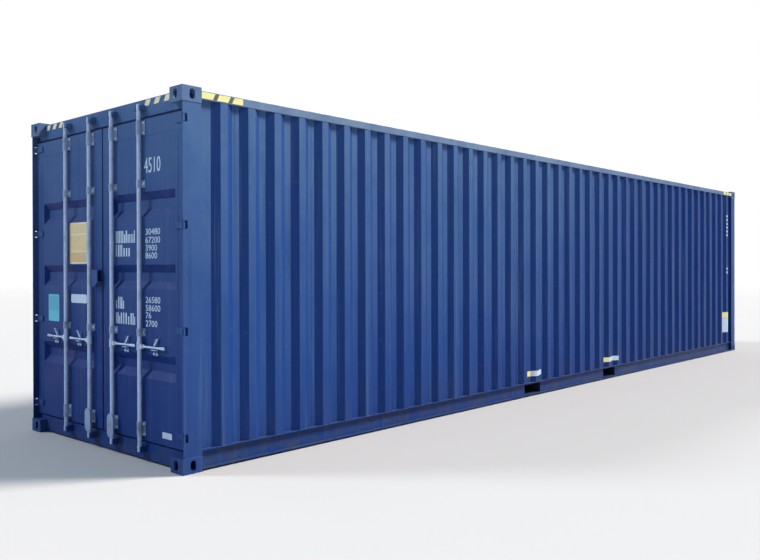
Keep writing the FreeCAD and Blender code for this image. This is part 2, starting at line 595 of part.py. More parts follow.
# ---- hinges ----------------------------------------------------------------
pin_x = depth("pin_depth")
lugs = []
blades = []
for index, level in enumerate(HINGE_LEVELS):
    lug_start = "blade_height / 2 + lug_gap"
    lug_end = "blade_height / 2 + lug_gap + lug_height"
    pieces = [upright("HingePin%d" % index, "pin_radius", pin_x, "pin_half",
                      "%s - (%s)" % (level, lug_end), "%s + (%s)" % (level, lug_end))]
    for side, (low, high) in enumerate((("%s + %s" % (level, lug_start), "%s + %s" % (level, lug_end)),
                                        ("%s - (%s)" % (level, lug_end), "%s - (%s)" % (level, lug_start)))):
        pieces.append(box("HingeLug%d_%d" % (index, side),
                          (pin_x + " - lug_front", pin_x + " + knuckle_radius"),
                          ("pin_half - lug_lap", fin_in), (low, high)))
    lugs.append(fuse("HingeLug%d" % index, pieces))
    blade_low = "%s - blade_height / 2" % level
    blade_high = "%s + blade_height / 2" % level
    strap = prism("HingeStrap%d" % index, "XY_Plane", [
        (depth("leaf_depth"), "blade_reach"), (depth("leaf_depth - blade_thick"), "blade_reach"),
        (depth("leaf_depth - blade_thick"), "pin_half - blade_bend"),
        (depth("pin_depth + blade_wrap"), "pin_half - knuckle_radius"),
        (pin_x, "pin_half"), (depth("pin_depth + knuckle_radius"), "pin_half + blade_wrap"),
        (depth("leaf_depth"), "leaf_outer - cut_past")], blade_low, blade_high)
    knuckle = upright("HingeKnuckle%d" % index, "knuckle_radius", pin_x, "pin_half", blade_low, blade_high)
    bore = upright("HingeBore%d" % index, "pin_radius + bore_gap", pin_x, "pin_half",
                   blade_low + " - cut_past", blade_high + " + cut_past")
    blades.append(cut("HingeBlade%d" % index, fuse("HingeBladeRaw%d" % index, [strap, knuckle]), [bore]))
left_lugs = group("HingeLugsLeft", lugs)
node("hinge_lugs", group("HingeLugs", [left_lugs, mirrored("HingeLugsRight", left_lugs)]))
left_blades = node("left_door_hinge_blades", group("HingeBladesLeft", blades))
node("right_door_hinge_blades", mirrored("HingeBladesRight", left_blades))

# ---- door leaves -----------------------------------------------------------
leaf_y = ("leaf_inner", "leaf_outer")
leaf_z = ("leaf_bottom", "leaf_top")
leaf_back = "(leaf_depth + leaf_thick)"
leaf_x = (depth("leaf_depth"), depth(leaf_back))
past_x = (depth("leaf_depth - cut_past"), depth(leaf_back + " + cut_past"))
frame_block = box("LeafBlock", leaf_x, leaf_y, leaf_z)
frame_window = box("LeafWindow", past_x, ("leaf_inner + stile", "leaf_outer - stile"),
                   ("leaf_low_rail", "leaf_top_rail"))
core_x = (depth("leaf_depth + frame_wall"), depth(leaf_back + " - frame_wall"))
stile_voids = [box("StileVoidInner", core_x, ("leaf_inner + frame_wall", "leaf_inner + stile - frame_wall"),
                   ("leaf_bottom - cut_past", "leaf_top + cut_past")),
               box("StileVoidOuter", core_x, ("leaf_outer - stile + frame_wall", "leaf_outer - frame_wall"),
                   ("leaf_bottom - cut_past", "leaf_top + cut_past"))]
rail_voids = [box("LeafRailVoid%d" % i, core_x, ("leaf_inner + frame_wall", "leaf_outer - frame_wall"), span)
              for i, span in enumerate((("leaf_bottom + frame_wall", "leaf_low_rail - frame_wall"),
                                        ("leaf_top_rail + frame_wall", "leaf_top - frame_wall")))]
left_frame = node("left_door_frame", cut("LeafFrame", frame_block,
                                         [frame_window] + stile_voids + rail_voids))
node("right_door_frame", mirrored("LeafFrameRight", left_frame))


def frustum(name, level, grow):
    """A pressed recess narrowing towards its floor, grown on all sides by a margin."""
    item = doc.addObject("Part::Wedge", name)
    item.Placement.Rotation = FreeCAD.Rotation(FreeCAD.Vector(0, 0, 1), -90)
    half_long = "(press_outer - press_inner) / 2 + %s" % grow
    half_tall = "press_height / 2 + %s" % grow
    for prop, amount in (("Ymin", "0"), ("Ymax", "press_depth + %s" % grow),
                         ("Xmin", "-(%s)" % half_long), ("Xmax", half_long),
                         ("Zmin", "-(%s)" % half_tall), ("Zmax", half_tall),
                         ("X2min", "-(%s - press_end)" % half_long), ("X2max", "%s - press_end" % half_long),
                         ("Z2min", "-(press_floor / 2 + %s)" % grow), ("Z2max",
                                                                       "press_floor / 2 + %s" % grow)):
        item.setExpression(prop, linked(amount))
    return place(item, depth("leaf_depth"), "(press_outer + press_inner) / 2", level)


skin = box("PanelSkin", (depth("leaf_depth"), depth("leaf_depth + sheet")),
           ("leaf_inner + stile", "leaf_outer - stile"), ("leaf_low_rail", "leaf_top_rail"))
PRESS_LEVELS = ("press_high", "press_middle", "press_low")
swells = [frustum("PressShell%d" % i, level, "sheet") for i, level in enumerate(PRESS_LEVELS)]
hollows = [frustum("PressHollow%d" % i, level, "0") for i, level in enumerate(PRESS_LEVELS)]
left_panel = node("left_door_panel", cut("LeafPanel", fuse("LeafPanelRaw", [skin] + swells), hollows))
node("right_door_panel", mirrored("LeafPanelRight", left_panel))

seal_back = depth("seal_face")
seal_block = box("SealBlock", (depth("seal_lip_depth"), seal_back),
                 ("seal_centre_lip", "leaf_outer + seal_side_lip"),
                 ("sill_top + seal_gap", "header_bottom - seal_gap"))
seal_leaf = box("SealLeafSpace", (depth("seal_lip_depth - cut_past"), depth(leaf_back)), leaf_y, leaf_z)
seal_window = box("SealWindow", (depth(leaf_back + " - cut_past"), depth("seal_face + cut_past")),
                  ("leaf_inner + seal_land", "leaf_outer - seal_land"),
                  ("leaf_bottom + seal_land", "leaf_top - seal_land"))
left_seal = node("left_door_gasket", cut("LeafSeal", seal_block, [seal_leaf, seal_window]))
node("right_door_gasket", mirrored("LeafSealRight", left_seal))

# ---- lock gear -------------------------------------------------------------
rod_x = depth("rod_depth")
RODS = (("outer", "rod_outer"), ("inner", "rod_inner"))


def guide(name, y, level, height):
    """A clamp round a lock rod on its own base plate."""
    low, high = "%s - %s / 2" % (level, height), "%s + %s / 2" % (level, height)
    outer = "rod_radius + rod_gap + guide_wall"
    ring = upright(name + "Ring", outer, rod_x, y, low, high)
    foot = box(name + "Foot", (rod_x, depth("leaf_depth")), ("%s - (%s)" % (y, outer), "%s + %s" % (y,
                                                                                                    outer)),
               (low, high))
    base = box(name + "Base", (depth("leaf_depth - guide_plate"), depth("leaf_depth")),
               ("%s - guide_width / 2" % y, "%s + guide_width / 2" % y),
               ("%s - %s / 2" % (level, height), "%s + %s / 2" % (level, height)))
    return [ring, foot, base]


def guard(name, y):
    """The long round-ended cover over an inner rod just above the sill."""
    front = (depth("rod_depth - rod_radius - rod_gap - guide_wall"),
             depth("rod_depth - rod_radius - rod_gap"))
    low_centre = "guard_low + guard_width / 2"
    high_centre = "guard_high - guard_width / 2"
    plate = box(name + "Plate", front, ("%s - guard_width / 2" % y, "%s + guard_width / 2" % y),
                (low_centre, high_centre))
    ends = [crossways(name + "End%d" % i, "guard_width / 2", front[0], front[1], y, level)
            for i, level in enumerate((low_centre, high_centre))]
    legs = []
    for i, sign in enumerate("-+"):
        legs.append(box("%sLeg%d" % (name, i), (front[0], depth("leaf_depth")),
                        ("%s %s guard_leg_offset - guard_leg / 2" % (y, sign),
                         "%s %s guard_leg_offset + guard_leg / 2" % (y, sign)),
                        ("guide_low - guide_end_height / 2", "guide_low + guide_end_height / 2")))
    return [plate] + ends + legs


guides = []
for label, y in RODS:
    for index, (level, height) in enumerate((("guide_low", "guide_end_height"), ("guide_mid_low",
                                                                                 "guide_height"),
                                             ("guide_mid_high", "guide_height"),
                                             ("guide_high", "guide_end_height"))):
        title = "Guide%s%d" % (label.title(), index)
        pieces = guide(title, y, level, height)
        if label == "inner" and index == 0:
            pieces += guard(title + "Guard", y)
        bore = upright(title + "Bore", "rod_radius + rod_gap", rod_x, y,
                       "%s - %s / 2 - cut_past" % (level, height), "%s + %s / 2 + cut_past" % (level,
                                                                                               height))
        guides.append(cut(title, fuse(title + "Raw", pieces), [bore]))
left_guides = node("left_rod_guides", group("RodGuidesLeft", guides))
node("right_rod_guides", mirrored("RodGuidesRight", left_guides))

handle_x = ("rod_depth - handle_thick / 2", "rod_depth + handle_thick / 2")
for label, y in RODS:
    title = label.title()
    bar = upright("Rod%sBar" % title, "rod_radius", rod_x, y, "rod_low", "rod_high")
    bore = upright("Rod%sBore" % title, "rod_bore", rod_x, y, "rod_low - cut_past", "rod_high + cut_past")
    hub_span = ("handle_level - hub_height / 2", "handle_level + hub_height / 2")
    pieces = [bar, upright("Rod%sHub" % title, "hub_radius", rod_x, y, *hub_span)]
    for index, level in enumerate(("cam_low", "cam_high")):
        span = ("%s - cam_height / 2" % level, "%s + cam_height / 2" % level)
        pieces.append(upright("Rod%sCam%d" % (title, index), "cam_radius", rod_x, y, *span))
        pieces.append(box("Rod%sNose%d" % (title, index), (depth("rod_depth - cam_half"),
                                                           depth("rod_depth + cam_half")),
                          ("%s - cam_reach" % y, y), span))
    pivot_y = "%s + pivot_offset" % y
    ear_span = ("handle_level - ear_height / 2", "handle_level + ear_height / 2")
    ear_faces = (("%s - handle_gap - ear_thick" % handle_x[0], "%s - handle_gap" % handle_x[0]),
                 ("%s + handle_gap" % handle_x[1], "%s + handle_gap + ear_thick" % handle_x[1]))
    for index, (near, far) in enumerate(ear_faces):
        pieces.append(box("Rod%sEar%d" % (title, index), (depth(near), depth(far)),
                          (y, pivot_y + " + handle_root_radius"), ear_span))
    pieces.append(crossways("Rod%sPivot" % title, "pivot_radius", depth(ear_faces[0][0]),
                            depth(ear_faces[1][1]),
                            pivot_y, "handle_level"))
    rod = node("lock_rod_left_" + label, cut("Rod" + title, fuse("RodRaw" + title, pieces), [bore]))
    node("lock_rod_right_" + label, mirrored("RodRight" + title, rod))

    span_x = (depth(handle_x[0]), depth(handle_x[1]))
    root = crossways("Handle%sRoot" % title, "handle_root_radius", span_x[0], span_x[1], pivot_y,
                     "handle_level")
    arm = box("Handle%sArm" % title, span_x, (pivot_y, "%s + handle_reach" % y),
              ("handle_level - handle_height / 2", "handle_level + handle_height / 2"))
    hole = crossways("Handle%sHole" % title, "pivot_radius + bore_gap", span_x[0] + " - cut_past",
                     span_x[1] + " + cut_past",
                     pivot_y, "handle_level")
    handle = node("handle_left_" + label, cut("Handle" + title, fuse("HandleRaw" + title, [root, arm]),
                                              [hole]))
    node("handle_right_" + label, mirrored("HandleRight" + title, handle))

catches = []
for label, y in RODS:
    title = "Catch" + label.title()
    centre = "%s + catch_offset" % y
    base = box(title + "Base", (depth("leaf_depth - catch_plate"), depth("leaf_depth")),
               ("%s - catch_width / 2" % centre, "%s + catch_width / 2" % centre),
               ("handle_level - catch_height / 2", "handle_level + catch_height / 2"))
    shelf_top = "handle_level - handle_height / 2 - catch_gap"
    shelf = box(title + "Shelf", (depth(handle_x[0]), depth("leaf_depth")),
                ("%s - catch_width / 2" % centre, "%s + catch_width / 2" % centre),
                (shelf_top + " - catch_plate", shelf_top))
    arm_front = depth(handle_x[1] + " + catch_gap")
    hasp = prism(title + "Hasp", "YZ_Plane", [
        (centre + " - hasp_foot", "handle_level + hasp_low"),
        (centre + " - hasp_foot + hasp_width", "handle_level + hasp_low"),
        (centre + " - hasp_foot + hasp_width + hasp_lean", "handle_level + hasp_high"),
        (centre + " - hasp_foot + hasp_lean", "handle_level + hasp_high")],
        arm_front, depth("leaf_depth - catch_plate"))
    catches.append(fuse(title, [base, shelf, hasp]))
left_catches = node("left_handle_retainers", group("HandleRetainersLeft", catches))
node("right_handle_retainers", mirrored("HandleRetainersRight", left_catches))

box_span = (depth("lock_box_depth"), depth("leaf_depth"))
lock_shell = prism("LockBoxShell", "YZ_Plane", [
    ("lock_box_right + lock_box_cut", "lock_box_low"), ("lock_box_left", "lock_box_low"),
    ("lock_box_left", "lock_box_high"), ("lock_box_right", "lock_box_high"),
    ("lock_box_right", "lock_box_low + lock_box_cut")], *box_span)
lock_void = prism("LockBoxVoid", "YZ_Plane", [
    ("lock_box_right + lock_box_cut + lock_box_wall / 2", "lock_box_low + lock_box_wall"),
    ("lock_box_left - lock_box_wall", "lock_box_low + lock_box_wall"),
    ("lock_box_left - lock_box_wall", "lock_box_high - lock_box_wall"),
    ("lock_box_right - cut_past", "lock_box_high - lock_box_wall"),
    ("lock_box_right - cut_past", "lock_box_low + lock_box_cut + lock_box_wall")],
    depth("lock_box_depth + lock_box_wall"), depth("leaf_depth + cut_past"))
node("lock_box", cut("LockBox", lock_shell, [lock_void]))


def keeper(name, y, level):
    """A bracket with a lip that holds a cam nose behind it."""
    low, high = "%s - keeper_height / 2" % level, "%s + keeper_height / 2" % level
    face = "frame_face - keeper_plate"
    return prism(name, "XY_Plane", [
        (depth("frame_face"), "%s + keeper_out" % y), (depth("keeper_out_depth"), "%s + keeper_out" % y),
        (depth("keeper_out_depth"), "%s + keeper_out_face" % y), (depth(face), "%s + keeper_out_face" % y),
        (depth(face), "%s - keeper_in_face" % y), (depth("keeper_hook_back"), "%s - keeper_in_face" % y),
        (depth("keeper_hook_back"), "%s - keeper_hook" % y), (depth("keeper_hook_depth"),
                                                              "%s - keeper_hook" % y),
        (depth("keeper_hook_depth"), "%s - keeper_in" % y), (depth("frame_face"), "%s - keeper_in" % y)],
        low, high)


left_keepers = []
for place_name, level in (("Header", "cam_high"), ("Sill", "cam_low")):
    left_keepers += [keeper("Keeper" + place_name + label.title(), y, level) for label, y in RODS]
left_keepers = group("RodKeepersLeft", left_keepers)
node("rod_keepers", group("RodKeepers", [left_keepers, mirrored("RodKeepersRight", left_keepers)]))

# ---- write the pieces out --------------------------------------------------
doc.recompute()
for item in doc.Objects:
    if "Invalid" in item.State or "Error" in item.State:
        raise RuntimeError("%s did not build: %s" % (item.Name, item.State))
os.makedirs("parts", exist_ok=True)
for name, item in NODES.items():
    if item.Shape.isNull() or not item.Shape.isValid():
        raise RuntimeError("%s has no sound shape" % name)
    item.Shape.exportStep("parts/%s.step" % name)
    print(name, len(item.Shape.Solids), item.Shape.BoundBox)
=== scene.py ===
import json
import math
import random

import bmesh
import bpy
from mathutils import Matrix, Vector


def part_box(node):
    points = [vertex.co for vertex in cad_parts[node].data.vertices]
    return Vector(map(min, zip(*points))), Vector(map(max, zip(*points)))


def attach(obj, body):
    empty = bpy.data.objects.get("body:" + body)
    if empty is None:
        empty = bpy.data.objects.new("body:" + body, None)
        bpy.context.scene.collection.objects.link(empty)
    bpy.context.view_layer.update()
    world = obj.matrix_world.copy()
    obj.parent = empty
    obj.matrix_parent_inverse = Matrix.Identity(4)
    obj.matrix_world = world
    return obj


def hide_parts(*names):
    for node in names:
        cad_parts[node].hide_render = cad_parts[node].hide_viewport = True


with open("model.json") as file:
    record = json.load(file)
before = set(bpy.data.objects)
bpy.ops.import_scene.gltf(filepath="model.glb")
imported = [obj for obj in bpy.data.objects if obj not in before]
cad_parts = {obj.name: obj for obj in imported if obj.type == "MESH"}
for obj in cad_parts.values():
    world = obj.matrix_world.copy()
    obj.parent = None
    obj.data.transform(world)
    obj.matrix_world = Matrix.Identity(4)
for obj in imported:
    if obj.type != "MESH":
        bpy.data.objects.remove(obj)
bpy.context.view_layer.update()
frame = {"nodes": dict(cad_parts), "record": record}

bl_info = {
    "name": "Freight Container",
    "version": (1, 0, 0),
    "blender": (4, 5, 0),
    "location": "View3D > Sidebar > Container",
    "description": "Paints, marks and fits out a forty-foot high-cube freight container",
    "category": "Object",
}

ROOT = "shell"
LEFT_LEAF = "left_door"
RIGHT_LEAF = "right_door"
HALF_LENGTH = frame["record"]["size"]["bbox_m"][0] / 2
TOP = frame["record"]["size"]["bbox_m"][2]
LEAF_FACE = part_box("left_door_frame")[0][0]
HEADER_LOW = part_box("door_header")[0][0]
ROD_Y = (0.600, 0.184)
GUIDE_LEVELS = (0.262, 1.027, 2.204, 2.648)
GUIDE_HEIGHTS = (0.114, 0.060, 0.060, 0.114)
HINGE_LEVELS = tuple(0.268 + (2.655 - 0.268) * i / 3 for i in range(4))
HINGE_PIN = (-6.081, 1.203)
CASTING_LENGTH = 0.178
CASTING_HEIGHT = 0.118
# one wave of the side walls along X, and how far its two levels stand from the middle plane
WAVE_PITCH = 0.278
WAVE_COUNT = 42
WAVE_FLAT = 0.035
WAVE_SLOPE = 0.068
WAVE_TOP = 0.072
WALL_CREST = 1.212
WALL_TROUGH = 1.176
RAIL_FACE = 1.215
WELD_FACE = 1.2155
CATCH_OFFSET = 0.2
LABEL_GAP = 0.0001
# the camera's place, and its yaw, pitch and roll in degrees
CAMERA_PLACE = (-9.563, -6.135, 1.541)
CAMERA_TURN = (43.80, -0.22, -0.14)
STAGE_REACH = 90.0
BACKDROP_RADIUS = 80.0
BACKDROP_TOP = 40.0


class ContainerPaint(bpy.types.PropertyGroup):
    """Colours and wear of the coats"""
    body_colour: bpy.props.FloatVectorProperty(
        name="Body colour", description="Fresh blue of the steelwork", subtype="COLOR", size=4,
        default=(0.001, 0.027, 0.160, 1.0), min=0.0, max=1.0)
    # Paler blue, mixed in towards the top and in random patches.
    faded_colour: bpy.props.FloatVectorProperty(
        name="Faded colour", description="Blue where sun and rain have bleached the paint", subtype="COLOR",
        size=4, default=(0.066, 0.132, 0.265, 1.0), min=0.0, max=1.0)
    underside_colour: bpy.props.FloatVectorProperty(
        name="Underside colour", description="Waxy coating below the floor", subtype="COLOR", size=4,
        default=(0.022, 0.026, 0.034, 1.0), min=0.0, max=1.0)
    # The blue tint of this zinc colour is painted sky reflection.
    zinc_and_sky_reflection_colour: bpy.props.FloatVectorProperty(
        name="Zinc colour with painted sky reflection", description="Hot-dip zinc on the lock gear", subtype="COLOR", size=4,
        default=(0.47, 0.60, 0.82, 1.0), min=0.0, max=1.0)
    chips: bpy.props.FloatProperty(
        name="Paint chips", description="How much of the paint has chipped to rust", default=0.35,
        min=0.0, max=1.0, subtype="FACTOR")


class ContainerMarkings(bpy.types.PropertyGroup):
    """Colours and thickness of the stencils, labels and stripes"""
    white: bpy.props.FloatVectorProperty(
        name="Marking white", description="Stencilled numbers", subtype="COLOR", size=4,
        default=(0.46, 0.56, 0.69, 1.0), min=0.0, max=1.0)
    yellow: bpy.props.FloatVectorProperty(
        name="Marking yellow", description="Height stripes and wall stickers", subtype="COLOR", size=4,
        default=(0.70, 0.64, 0.24, 1.0), min=0.0, max=1.0)
    cyan: bpy.props.FloatVectorProperty(
        name="Marking cyan", description="Small label on the left leaf", subtype="COLOR", size=4,
        default=(0.08, 0.42, 0.58, 1.0), min=0.0, max=1.0)
    label_rise: bpy.props.FloatProperty(
        name="Label thickness", description="How far a label stands off the steel", default=0.0006,
        min=0.0002, max=0.003, unit="LENGTH")


class ContainerFittings(bpy.types.PropertyGroup):
    """Sizes of the bolts and weld beads"""
    bolt_size: bpy.props.FloatProperty(
        name="Bolt head", description="Width across the flats of a bolt head", default=0.019, min=0.008,
        max=0.04, unit="LENGTH")
    weld_size: bpy.props.FloatProperty(
        name="Weld bead", description="Width of a weld bead", default=0.007, min=0.003, max=0.02,
        unit="LENGTH")


class ContainerStage(bpy.types.PropertyGroup):
    """Lens and lights"""
    lens: bpy.props.FloatProperty(
        name="Lens", description="Focal length of the camera", default=37.9, min=10.0, max=200.0)
    shift_x: bpy.props.FloatProperty(
        name="Shift across", description="Sideways shift of the lens", default=0.055, min=-1.0, max=1.0)
    shift_y: bpy.props.FloatProperty(
        name="Shift up", description="Upward shift of the lens", default=-0.013, min=-1.0, max=1.0)
    key_strength: bpy.props.FloatProperty(
        name="Key light", description="Strength of the high light", default=6.0, min=0.0, max=20.0)
    door_strength: bpy.props.FloatProperty(
        name="Door light", description="Strength of the light on the doors", default=2.1, min=0.0, max=20.0)
    fill_strength: bpy.props.FloatProperty(
        name="Fill light", description="Strength of the light from all round", default=0.42,
        min=0.0, max=10.0)


# ---- shader helpers --------------------------------------------------------
def add_node(tree, kind, inputs=None, **settings):
    """A node with its settings and unlinked input values."""
    item = tree.nodes.new(kind)
    for name, amount in settings.items():
        setattr(item, name, amount)
    for name, amount in (inputs or {}).items():
        item.inputs[name].default_value = amount
    return item


def feed(tree, socket, amount):
    """Link a socket, or set it when the amount is a plain value."""
    if isinstance(amount, bpy.types.NodeSocket):
        tree.links.new(amount, socket)
    else:
        socket.default_value = amount


def calc(tree, operation, *amounts):
    """A clamped sum, product or the like."""
    item = add_node(tree, "ShaderNodeMath", operation=operation, use_clamp=True)
    for socket, amount in zip(item.inputs, amounts):
        feed(tree, socket, amount)
    return item.outputs[0]


def blend(tree, factor, first, second):
    """A colour mix."""
    item = add_node(tree, "ShaderNodeMix", data_type="RGBA")
    for socket, amount in zip((item.inputs[0], item.inputs[6], item.inputs[7]), (factor, first, second)):
        feed(tree, socket, amount)
    return item.outputs[2]


def ramp(tree, source, low, high):
    """Zero at low, one at high."""
    item = add_node(tree, "ShaderNodeMapRange", interpolation_type="SMOOTHSTEP")
    for name, amount in (("Value", source), ("From Min", low), ("From Max", high)):
        feed(tree, item.inputs[name], amount)
    return item.outputs["Result"]


def noise(tree, vector, scale, detail=2.0, rough=0.5, stretch=(1, 1, 1)):
    """Noise with its own stretch along the axes."""
    shift = add_node(tree, "ShaderNodeMapping", {"Scale": stretch})
    tree.links.new(vector, shift.inputs["Vector"])
    item = add_node(tree, "ShaderNodeTexNoise", {"Scale": scale, "Detail": detail, "Roughness": rough})
    tree.links.new(shift.outputs["Vector"], item.inputs["Vector"])
    return item.outputs["Fac"]


def new_group(name, inputs, outputs):
    """A shader group with named sockets, and the sockets at its two ends."""
    group = bpy.data.node_groups.new(name, "ShaderNodeTree")
    for label, kind, default in inputs:
        socket = group.interface.new_socket(name=label, in_out="INPUT", socket_type="NodeSocket" + kind)
        socket.default_value = default
    for label, kind in outputs:
        group.interface.new_socket(name=label, in_out="OUTPUT", socket_type="NodeSocket" + kind)
    return group, add_node(group, "NodeGroupInput").outputs, add_node(group, "NodeGroupOutput").inputs


def paint_group():
    """Paint paler towards the top and in random patches, rain-streaked and lightly chipped, with painted
    shade on sloped faces and towards the +X end.
    """
    group, given, result = new_group(
        "Weathered Paint",
        [("Fresh", "Color", (0.02, 0.07, 0.26, 1)), ("Faded", "Color", (0.08, 0.15, 0.33, 1)),
         ("Fade Low", "Float", 0.2), ("Fade High", "Float", 2.9), ("Fade Amount", "Float", 0.8),
         ("Fade Along", "Float", 0.0), ("Flats Only", "Float", 0.0),
         ("Streaks", "Float", 0.3), ("Chips", "Float", 0.3), ("Dust", "Float", 0.3)],
        [("Color", "Color"), ("Roughness", "Float"), ("Height", "Float")])
    place = add_node(group, "ShaderNodeTexCoord").outputs["Object"]
    split = add_node(group, "ShaderNodeSeparateXYZ")
    group.links.new(place, split.inputs[0])
    level = split.outputs["Z"]
    lift = add_node(group, "ShaderNodeMapRange", interpolation_type="LINEAR")
    for name, amount in (("Value", level), ("From Min", given["Fade Low"]), ("From Max", given["Fade High"])):
        feed(group, lift.inputs[name], amount)
    clouds = calc(group, "MULTIPLY", noise(group, place, 0.8, 5.0, 0.55), 0.45)
    # The paint turns paler towards the top.
    paler_upward = calc(group, "MULTIPLY", calc(group, "POWER", lift.outputs["Result"], 1.05), 0.8)
    fade = calc(group, "ADD", paler_upward, calc(group, "SUBTRACT", clouds, 0.14))
    # Painted shade: the paint is kept darker towards the +X end, standing in for shade on the far part of the
    # walls.
    far_end_painted_shade = calc(group, "MULTIPLY", ramp(group, split.outputs["X"], -2.5, 4.5), given["Fade Along"])
    fade = calc(group, "MULTIPLY", fade, calc(group, "SUBTRACT", 1.0, far_end_painted_shade))
    # Painted shade: faces that are not square to the X or Y axis keep the darker fresh blue, standing in for
    # shade on the slopes of the wall waves and pressed recesses.
    facing = add_node(group, "ShaderNodeSeparateXYZ")
    group.links.new(add_node(group, "ShaderNodeTexCoord").outputs["Normal"], facing.inputs[0])
    squareness = calc(group, "MAXIMUM", calc(group, "ABSOLUTE", facing.outputs["X"]),
                      calc(group, "ABSOLUTE", facing.outputs["Y"]))
    flats = ramp(group, squareness, 0.905, 0.97)
    slope_painted_shade = calc(group, "MULTIPLY", calc(group, "SUBTRACT", 1.0, flats), given["Flats Only"])
    fade = calc(group, "MULTIPLY", fade, calc(group, "SUBTRACT", 1.0, slope_painted_shade))
    base = blend(group, calc(group, "MULTIPLY", fade, given["Fade Amount"]), given["Fresh"], given["Faded"])
    patches = ramp(group, noise(group, place, 2.3, 5.0, 0.65), 0.42, 0.68)
    base = blend(group, calc(group, "MULTIPLY", patches, 0.3), base, (0.006, 0.040, 0.175, 1))
    rain = ramp(group, noise(group, place, 3.2, 5.0, 0.62, (5.0, 5.0, 0.15)), 0.52, 0.72)
    base = blend(group, calc(group, "MULTIPLY", rain, given["Streaks"]), base, (0.075, 0.125, 0.225, 1))
    soot = ramp(group, noise(group, place, 4.6, 4.0, 0.6, (4.0, 4.0, 0.11)), 0.56, 0.76)
    base = blend(group, calc(group, "MULTIPLY", soot, given["Streaks"]), base, (0.003, 0.018, 0.085, 1))
    low = ramp(group, level, 0.7, 0.03)
    grime = calc(group, "MULTIPLY", calc(group, "MULTIPLY", low, given["Dust"]),
                 ramp(group, noise(group, place, 7.0, 6.0, 0.7), 0.3, 0.7))
    base = blend(group, grime, base, (0.045, 0.055, 0.085, 1))
    scuffs = ramp(group, noise(group, place, 9.0, 7.0, 0.72, (1.0, 1.0, 2.5)), 0.62, 0.70)
    base = blend(group, calc(group, "MULTIPLY", scuffs, 0.2), base, (0.10, 0.16, 0.27, 1))
    region = ramp(group, noise(group, place, 1.5, 2.0), 0.46, 0.70)
    specks = ramp(group, noise(group, place, 38.0, 6.0, 0.68), 0.635, 0.665)
    bare = calc(group, "MULTIPLY", calc(group, "MULTIPLY", region, specks), given["Chips"])
    rust = blend(group, noise(group, place, 90.0, 3.0), (0.13, 0.045, 0.018, 1), (0.04, 0.02, 0.014, 1))
    base = blend(group, bare, base, rust)
    group.links.new(base, result["Color"])
    gloss = calc(group, "ADD", calc(group, "MULTIPLY", noise(group, place, 5.0, 4.0), 0.22), 0.34)
    group.links.new(calc(group, "ADD", gloss, calc(group, "MULTIPLY", bare, 0.3)), result["Roughness"])
    peel = calc(group, "MULTIPLY", noise(group, place, 240.0, 2.0), 0.06)
    dents = calc(group, "MULTIPLY", noise(group, place, 2.2, 3.0), 0.9)
    surface = calc(group, "ADD", dents, peel)
    group.links.new(calc(group, "SUBTRACT", surface, calc(group, "MULTIPLY", bare, 0.08)), result["Height"])
    return group


def zinc_group():
    """Hot-dip zinc: crystalline spangle, dull patches, pale bloom."""
    group, given, result = new_group(
        "Hot Dip Zinc", [("Zinc", "Color", (0.5, 0.56, 0.66, 1)), ("Grime", "Float", 0.4)],
        [("Color", "Color"), ("Roughness", "Float"), ("Height", "Float")])
    place = add_node(group, "ShaderNodeTexCoord").outputs["Object"]
    cells = add_node(group, "ShaderNodeTexVoronoi", {"Scale": 110.0})
    group.links.new(place, cells.inputs["Vector"])
    tone = add_node(group, "ShaderNodeSeparateColor")
    group.links.new(cells.outputs["Color"], tone.inputs[0])
    base = blend(group, calc(group, "MULTIPLY", tone.outputs[0], 0.4), given["Zinc"], (0.27, 0.33, 0.43, 1))
    patches = ramp(group, noise(group, place, 6.0, 5.0, 0.65), 0.48, 0.72)
    base = blend(group, calc(group, "MULTIPLY", patches, given["Grime"]), base, (0.13, 0.15, 0.20, 1))
    bloom = ramp(group, noise(group, place, 21.0, 4.0), 0.6, 0.75)
    base = blend(group, calc(group, "MULTIPLY", bloom, 0.35), base, (0.60, 0.66, 0.72, 1))
    rust = ramp(group, noise(group, place, 17.0, 6.0, 0.7), 0.66, 0.74)
    base = blend(group, calc(group, "MULTIPLY", rust, given["Grime"]), base, (0.17, 0.075, 0.035, 1))
    group.links.new(base, result["Color"])
    rough = calc(group, "ADD", calc(group, "MULTIPLY", noise(group, place, 40.0, 3.0), 0.28), 0.34)
    group.links.new(rough, result["Roughness"])
    fine = calc(group, "MULTIPLY", noise(group, place, 300.0), 0.5)
    group.links.new(calc(group, "ADD", calc(group, "MULTIPLY", tone.outputs[1], 0.5), fine), result["Height"])
    return group


def label_group():
    """A vinyl label or stencil: slightly uneven, scuffed and dusty."""
    group, given, result = new_group(
        "Worn Label", [("Colour", "Color", (0.8, 0.8, 0.8, 1)), ("Under", "Color", (0.05, 0.12, 0.28, 1)),
                       ("Wear", "Float", 0.3)],
        [("Color", "Color"), ("Roughness", "Float"), ("Height", "Float")])
    place = add_node(group, "ShaderNodeTexCoord").outputs["Object"]
    scuff = ramp(group, noise(group, place, 26.0, 6.0, 0.72), 0.52, 0.70)
    base = blend(group, calc(group, "MULTIPLY", scuff, given["Wear"]), given["Colour"], given["Under"])
    haze = ramp(group, noise(group, place, 5.0, 4.0), 0.4, 0.8)
    base = blend(group, calc(group, "MULTIPLY", haze, 0.22), base, (0.33, 0.36, 0.39, 1))
    group.links.new(base, result["Color"])
    rough = calc(group, "ADD", calc(group, "MULTIPLY", noise(group, place, 30.0, 3.0), 0.22), 0.40)
    group.links.new(rough, result["Roughness"])
    group.links.new(noise(group, place, 210.0), result["Height"])
    return group


